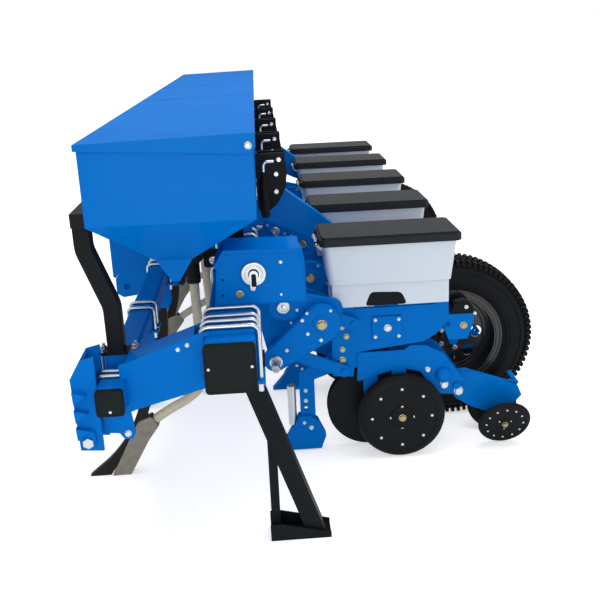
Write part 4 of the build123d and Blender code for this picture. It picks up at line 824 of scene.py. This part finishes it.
# %% Chain case rims and bolts
UPPER_FACE, LOWER_FACE = 165, 217
AXLE_X, AXLE_Z = 306, 604
UPPER_CASE = two_circles((172, 665), (352, 640), 55, 38)
LOWER_CASE = two_circles((132, 475), (AXLE_X, AXLE_Z), 42, 70)
axle_boss = two_circles((AXLE_X, AXLE_Z), (AXLE_X, AXLE_Z), 34, 34)
case_rims = [
    border(UPPER_CASE, 3.5, -UPPER_FACE - 1, -UPPER_FACE + 4),
    border(LOWER_CASE, 3.5, -LOWER_FACE - 1, -LOWER_FACE + 4),
    slab(axle_boss, [(0, -216), (0, -219), (2, -220.5), (9, -220.5)]),
]
rims = piece("chain_case_rims", moved(joined(case_rims), ROW_Y), blue_powder_coat, "seeder")
# x and z of each head, the face that it sits on, its radius
CASE_HEADS = [
    (221, 647, UPPER_FACE, 5), (135, 697, UPPER_FACE, 5), (196, 702, UPPER_FACE, 5),
    (236, 624, LOWER_FACE, 6), (254, 571, LOWER_FACE, 6), (175, 512, LOWER_FACE, 6),
    (301, 544, LOWER_FACE, 6), (340, 655, LOWER_FACE, 5), (254, 650, LOWER_FACE, 5),
]  # fmt: skip
case_rows = [
    (x, row_y - face, z, 0, -1, 0, radius) for row_y in ROW_Y for x, z, face, radius in CASE_HEADS
]
bolts("chain_case_bolts", HEX_BOLT, case_rows, zinc_plate, "seeder")
axle_rows = [(AXLE_X, row_y - 220.5, AXLE_Z, 0, -1, 0, 17) for row_y in ROW_Y]
bolts("chain_case_axle_bolts", HEX_BOLT, axle_rows, yellow_zinc, "seeder")
socket = lathe([(24, 0), (24, 7), (21, 9), (17, 9), (16, 4), (9, 4), (9, 12), (7, 13)], 40)
shaft_end = lathe([(24, 0), (24, 10), (20, 13), (17, 13), (16, 6), (13, 6), (13, 34), (11, 36)], 40)
socket_frames = frames_at(at(172, ROW_Y - UPPER_FACE, 662), [(0, -1, 0)])
shaft_frames = frames_at(at(134, ROW_Y - LOWER_FACE, 472), [(0, -1, 0)])
bearings = joined([copies(socket, socket_frames), copies(shaft_end, shaft_frames)])
piece("chain_case_bearings", bearings, zinc_plate, "seeder", smooth=30)

# %% [markdown]
# ## Row unit trim
# Small pieces on each row unit: a domed cap on the lower frame, the black spring cover over
# the rear lug, the handle that sets the press wheels' load, and the clod pusher's zinc tube.

# %% Domes, covers and handles
dome = lathe([(30, 0), (30, 10), (28, 18), (22, 25), (12, 29)], 40)
dome_rows = [(785, row_y + end * PLATE_FACE, 312) for row_y in ROW_Y for end in SIDES]
dome_normals = [(0, end, 0) for _ in ROW_Y for end in SIDES]
dome_frames = frames_at(at(*np.array(dome_rows, float).T), dome_normals)
handle_bar = tube(at([1066, 1101], [0, 0], [279, 226]), 9 * MM, 16)
handle_stem = tube(at([1084, 1046], [0, 0], [252, 196]), 6 * MM, 12)
row_trim = joined([copies(dome, dome_frames), moved(joined([handle_bar, handle_stem]), ROW_Y)])
piece("row_unit_trim", row_trim, blue_powder_coat, "seeder", smooth=40)

SPRING_COVER = rounded([(812, 556), (906, 556), (900, 590), (870, 614), (826, 604)], 10)
covers = [slab(SPRING_COVER, [(0, end * 28), (0, end * 60), (3, end * 63)]) for end in SIDES]
covers = moved(joined(covers), ROW_Y)
piece("spring_covers", covers, moulded_black, "seeder", smooth=35)

# A black sheet over the arch of each seed box's foot, on both side faces: painted shade that stands
# for the dark opening there, not a cover on the meter.
ARCH_SHADE_OUTLINE = rounded([(480, 624), (640, 624), (618, 672), (502, 678)], 16)
ARCH_SHADE_ROWS = [(2, 84), (0, 86), (0, 96), (4, 99)]
arch_shades = [slab(ARCH_SHADE_OUTLINE, [(inset, end * y) for inset, y in ARCH_SHADE_ROWS]) for end in SIDES]
arch_shades = moved(joined(arch_shades), ROW_Y)
piece("painted_arch_shade", arch_shades, moulded_black, "seeder")

zinc_tube = tube(at([190, 190], [0, 0], [112, 278]), 17 * MM, 24)
pusher_tubes = moved(zinc_tube, ROW_Y)
piece("clod_pusher_tubes", pusher_tubes, zinc_plate, "seeder", smooth=40)
# x and z of each head, the face that it sits on, its radius
PUSHER_HEADS = [(246, 254, 8, 7), (245, 211, 8, 7), (235, 122, 23, 6), (262, 99, 23, 8)]
pusher_rows = [
    (x, row_y + end * face, z, 0, end, 0, radius)
    for row_y in ROW_Y
    for end in SIDES
    for x, z, face, radius in PUSHER_HEADS
]
bolts("clod_pusher_bolts", HEX_BOLT, pusher_rows, zinc_plate, "seeder")

# %% [markdown]
# ## Fertiliser side
# Latches with black cylinders and bent zinc handles stand behind the hopper between black
# guards, a zinc ring sits on each meter's black case, and the boots of the tines show bare
# earth-stained steel.

# %% Latches, rings and boots
LATCH_X, LATCH_Y = 127, ROW_Y - 55
HOOK_BEND = 16
cylinder = lathe([(12, -8), (16, 0), (17, 6), (17, 122), (14, 132), (8, 136), (8, 160)], 24)
cylinders = copies(cylinder, frames_at(at(LATCH_X, LATCH_Y, 982), [(0, 0, 1)]))
piece("latch_cylinders", cylinders, moulded_black, "seeder")
bend_angle = np.linspace(0, pi / 2, 7)
hook = np.concatenate([
    [(LATCH_X, 1132)],
    np.c_[
        LATCH_X + HOOK_BEND - HOOK_BEND * np.cos(bend_angle), 1162 + HOOK_BEND * np.sin(bend_angle)
    ],
    [(166, 1178)],
])
hooks = moved(tube(at(hook[:, 0], 0, hook[:, 1]), 6 * MM, 12), LATCH_Y)
meter_ring = lathe([(16, 0), (16, 5), (13, 7), (9, 7), (8, 2), (5, 2), (5, 8)], 32)
meter_frames = frames_at(at(-76, ROW_Y - 31, 819), [(0, -1, 0)])
zinc_trim = joined([hooks, copies(meter_ring, meter_frames)])
piece("latch_and_meter_trim", zinc_trim, zinc_plate, "seeder", smooth=40)
METER_CASE = rounded([(-114, 850), (-56, 846), (-50, 800), (-66, 786), (-114, 792)], 8)
meter_cases = moved(slab(METER_CASE, [(2, -31), (0, -29), (0, 29), (2, 31)]), ROW_Y)
meter_cases = piece("meter_drive_cases", meter_cases, moulded_black, "seeder", smooth=35)
GUARD_CORNERS = [
    (101, 1206), (204, 1206), (213, 1140), (205, 1075), (172, 1018), (128, 984), (101, 1000),
]  # fmt: skip
GUARD_FACE = 43
guard_rows = [(1, GUARD_FACE - 5), (0, GUARD_FACE - 4), (0, GUARD_FACE - 1), (1, GUARD_FACE)]
guard_outline = rounded(GUARD_CORNERS, 16)
guards = [slab(guard_outline, [(inset, end * y) for inset, y in guard_rows]) for end in SIDES]
guards = moved(joined(guards), ROW_Y)
piece("latch_guards", guards, moulded_black, "seeder")
latch_rows = [
    (x, row_y + end * GUARD_FACE, z, 0, end, 0, 8)
    for row_y in ROW_Y
    for end in SIDES
    for x, z in ((172, 1130), (170, 1066), (184, 1182))
]
bolts("latch_bolts", HEX_BOLT, latch_rows, zinc_plate, "seeder")
hinge_rows = [(86, end * 1940, 1329, 0, end, 0, 12) for end in SIDES]
bolts("hopper_hinge_bolts", RIVET, hinge_rows, zinc_plate, "seeder")

BOOT = [(-522, 0), (-450, 0), (-370, 140), (-325, 201), (-353, 239), (-402, 221), (-442, 150)]
boots = slab(rounded(BOOT, 9), [(3, -24), (0, -22), (0, 22), (3, 24)])
boots = moved(boots, ROW_Y - TINE_ASIDE)
piece("worn_boots", boots, worn_boot_steel, "seeder", smooth=35)

# %% [markdown]
# ## Fan
# Ten bolts round the scroll and a round wire guard over the inlet, of four rings, a boss and two
# crossed wires.

# %% Fan bolts and guard
FAN_X, FAN_Y, FAN_Z = -496, 250, 895
GUARD_X, WIRE_X = FAN_X - 40, FAN_X - 43
GUARD_RINGS = (16, 30, 44, 58)
WIRE_END = 60
fan_angle = np.arange(10) * 2 * pi / 10
fan_rows = [(FAN_X, FAN_Y + 166 * cos(a), FAN_Z + 166 * sin(a), -1, 0, 0, 7) for a in fan_angle]
bolts("fan_bolts", HEX_BOLT, fan_rows, zinc_plate, "seeder")
rings = [tyre_shell([(r - 2, 0), (r - 2, 4), (r + 2, 4), (r + 2, 0)], 48) for r in GUARD_RINGS]
guard = joined([*rings, lathe([(11, -2), (11, 5), (8, 7)], 32)])
guard = copies(guard, frames_at(at([GUARD_X], [FAN_Y], [FAN_Z]), [(-1, 0, 0)]))
wire_ends = (
    at([WIRE_X] * 2, FAN_Y, [FAN_Z - WIRE_END, FAN_Z + WIRE_END]),
    at([WIRE_X] * 2, [FAN_Y - WIRE_END, FAN_Y + WIRE_END], FAN_Z),
)
wires = [tube(ends, 2 * MM, 10, helper=(1, 0, 0)) for ends in wire_ends]
piece("fan_guard", joined([guard, *wires]), zinc_plate, "seeder")

# %% [markdown]
# ## Hitch cheeks
# The plate above each lower hitch point runs straight up beside the front beam, as a pair of
# cheeks on each side.

# %% Cheeks
CHEEK = [
    (-389, 746), (-420, 744), (-560, 590), (-588, 545), (-600, 552), (-600, 742), (-560, 800),
    (-389, 800),
]  # fmt: skip
HITCH_Y, CHEEK_Y, HALF_CHEEK = 400, 38, 7
middles = [end * HITCH_Y + offset for end in SIDES for offset in (-CHEEK_Y, CHEEK_Y)]
cheeks = [slab(CHEEK, [(0, middle - HALF_CHEEK), (0, middle + HALF_CHEEK)]) for middle in middles]
piece("hitch_cheeks", joined(cheeks), blue_powder_coat, "seeder")

# %% [markdown]
# ## Post feet
# Four studs with nuts hold the foot of each hopper post to the front beam.

# %% Studs and nuts
FOOT_Y = (-1850, -600, 600, 1850)
STUD_X = (-391.5, -294)
STUD_LENGTH, NUT_Z = 150, 722
stud = lathe([(5, 0), (5, STUD_LENGTH)], 14)
stud_rows = [(x, y + offset, 588) for y in FOOT_Y for offset in (-16, 16) for x in STUD_X]
studs = copies(stud, frames_at(at(*np.array(stud_rows, float).T), [(0, 0, 1)]))
piece("post_foot_studs", studs, zinc_plate, "seeder", smooth=40)
foot_rows = [(x, y, NUT_Z, 0, 0, 1, 10) for x, y, _ in stud_rows]
bolts("post_foot_nuts", HEX_BOLT, foot_rows, zinc_plate, "seeder")

# %% [markdown]
# ## Floor, light and world
# The floor is plain and pale. The light is that of an overcast sky: an even white world and
# two large soft lamps, so that a colour renders about as it is written. What the camera sees,
# or sees mirrored or through something clear, is white; the machine's shadow stays.

# %% Stage
FLOOR_LIFT = 0.5
WORLD_LIGHT = 0.75
FLOOR_HALF = 30


def shown_directly(tree):
    """Socket that is 1 for camera, glossy and transmission rays and 0 for all others."""
    path = node(tree, "ShaderNodeLightPath")
    shown = path.outputs["Is Camera Ray"]
    for ray in ("Is Glossy Ray", "Is Transmission Ray"):
        links = {0: shown, 1: path.outputs[ray]}
        shown = node(tree, "ShaderNodeMath", {"operation": "MAXIMUM"}, links).outputs[0]
    return shown


stage_finish = bpy.data.materials.new("pale_floor")
stage_finish.use_nodes = True
tree = stage_finish.node_tree
floor_shader = tree.nodes["Principled BSDF"]
for key, value in (
    ("Base Color", colour("F4F5F6")),
    ("Roughness", 0.95),
    ("Specular IOR Level", 0.0),
    ("Emission Color", (1, 1, 1, 1)),
):
    floor_shader.inputs[key].default_value = value
lift = node(
    tree,
    "ShaderNodeMath",
    {"operation": "MULTIPLY", 1: FLOOR_LIFT},
    {0: shown_directly(tree)},
)
tree.links.new(lift.outputs[0], floor_shader.inputs["Emission Strength"])
floor_corners = np.array([(-1, -1, 0), (1, -1, 0), (1, 1, 0), (-1, 1, 0)]) * FLOOR_HALF
floor_mesh = bpy.data.meshes.new("floor")
floor_mesh.from_pydata(floor_corners.tolist(), [], [(0, 1, 2, 3)])
floor_mesh.materials.append(stage_finish)
floor = bpy.data.objects.new("floor", floor_mesh)
bpy.context.collection.objects.link(floor)

world = bpy.data.worlds.new("overcast")
world.use_nodes = True
tree = world.node_tree
background = tree.nodes["Background"]
seen = node(
    tree,
    "ShaderNodeMapRange",
    {"To Min": WORLD_LIGHT, "To Max": 1.0},
    {"Value": shown_directly(tree)},
)
tree.links.new(seen.outputs["Result"], background.inputs["Strength"])
background.inputs["Color"].default_value = (1, 1, 1, 1)
bpy.context.scene.world = world


def lamp(name, place, aim, size, watts):
    """A square soft lamp at a place, in metres, aimed at a point."""
    data = bpy.data.lights.new(name, "AREA")
    data.size = size
    data.energy = watts
    holder = bpy.data.objects.new(name, data)
    bpy.context.collection.objects.link(holder)
    back = np.array(place, float) - aim
    frames = frames_at(np.array([place], float), [back])
    holder.matrix_world = Matrix(frames[0].tolist())


lamp("front_lamp", (-0.2, -7.0, 1.4), (0, 0, 0.7), 3.0, 75)
lamp("top_lamp", (0.6, -0.5, 5.6), (0, 0, 0.6), 4.0, 150)
bpy.context.scene.view_settings.view_transform = "Standard"
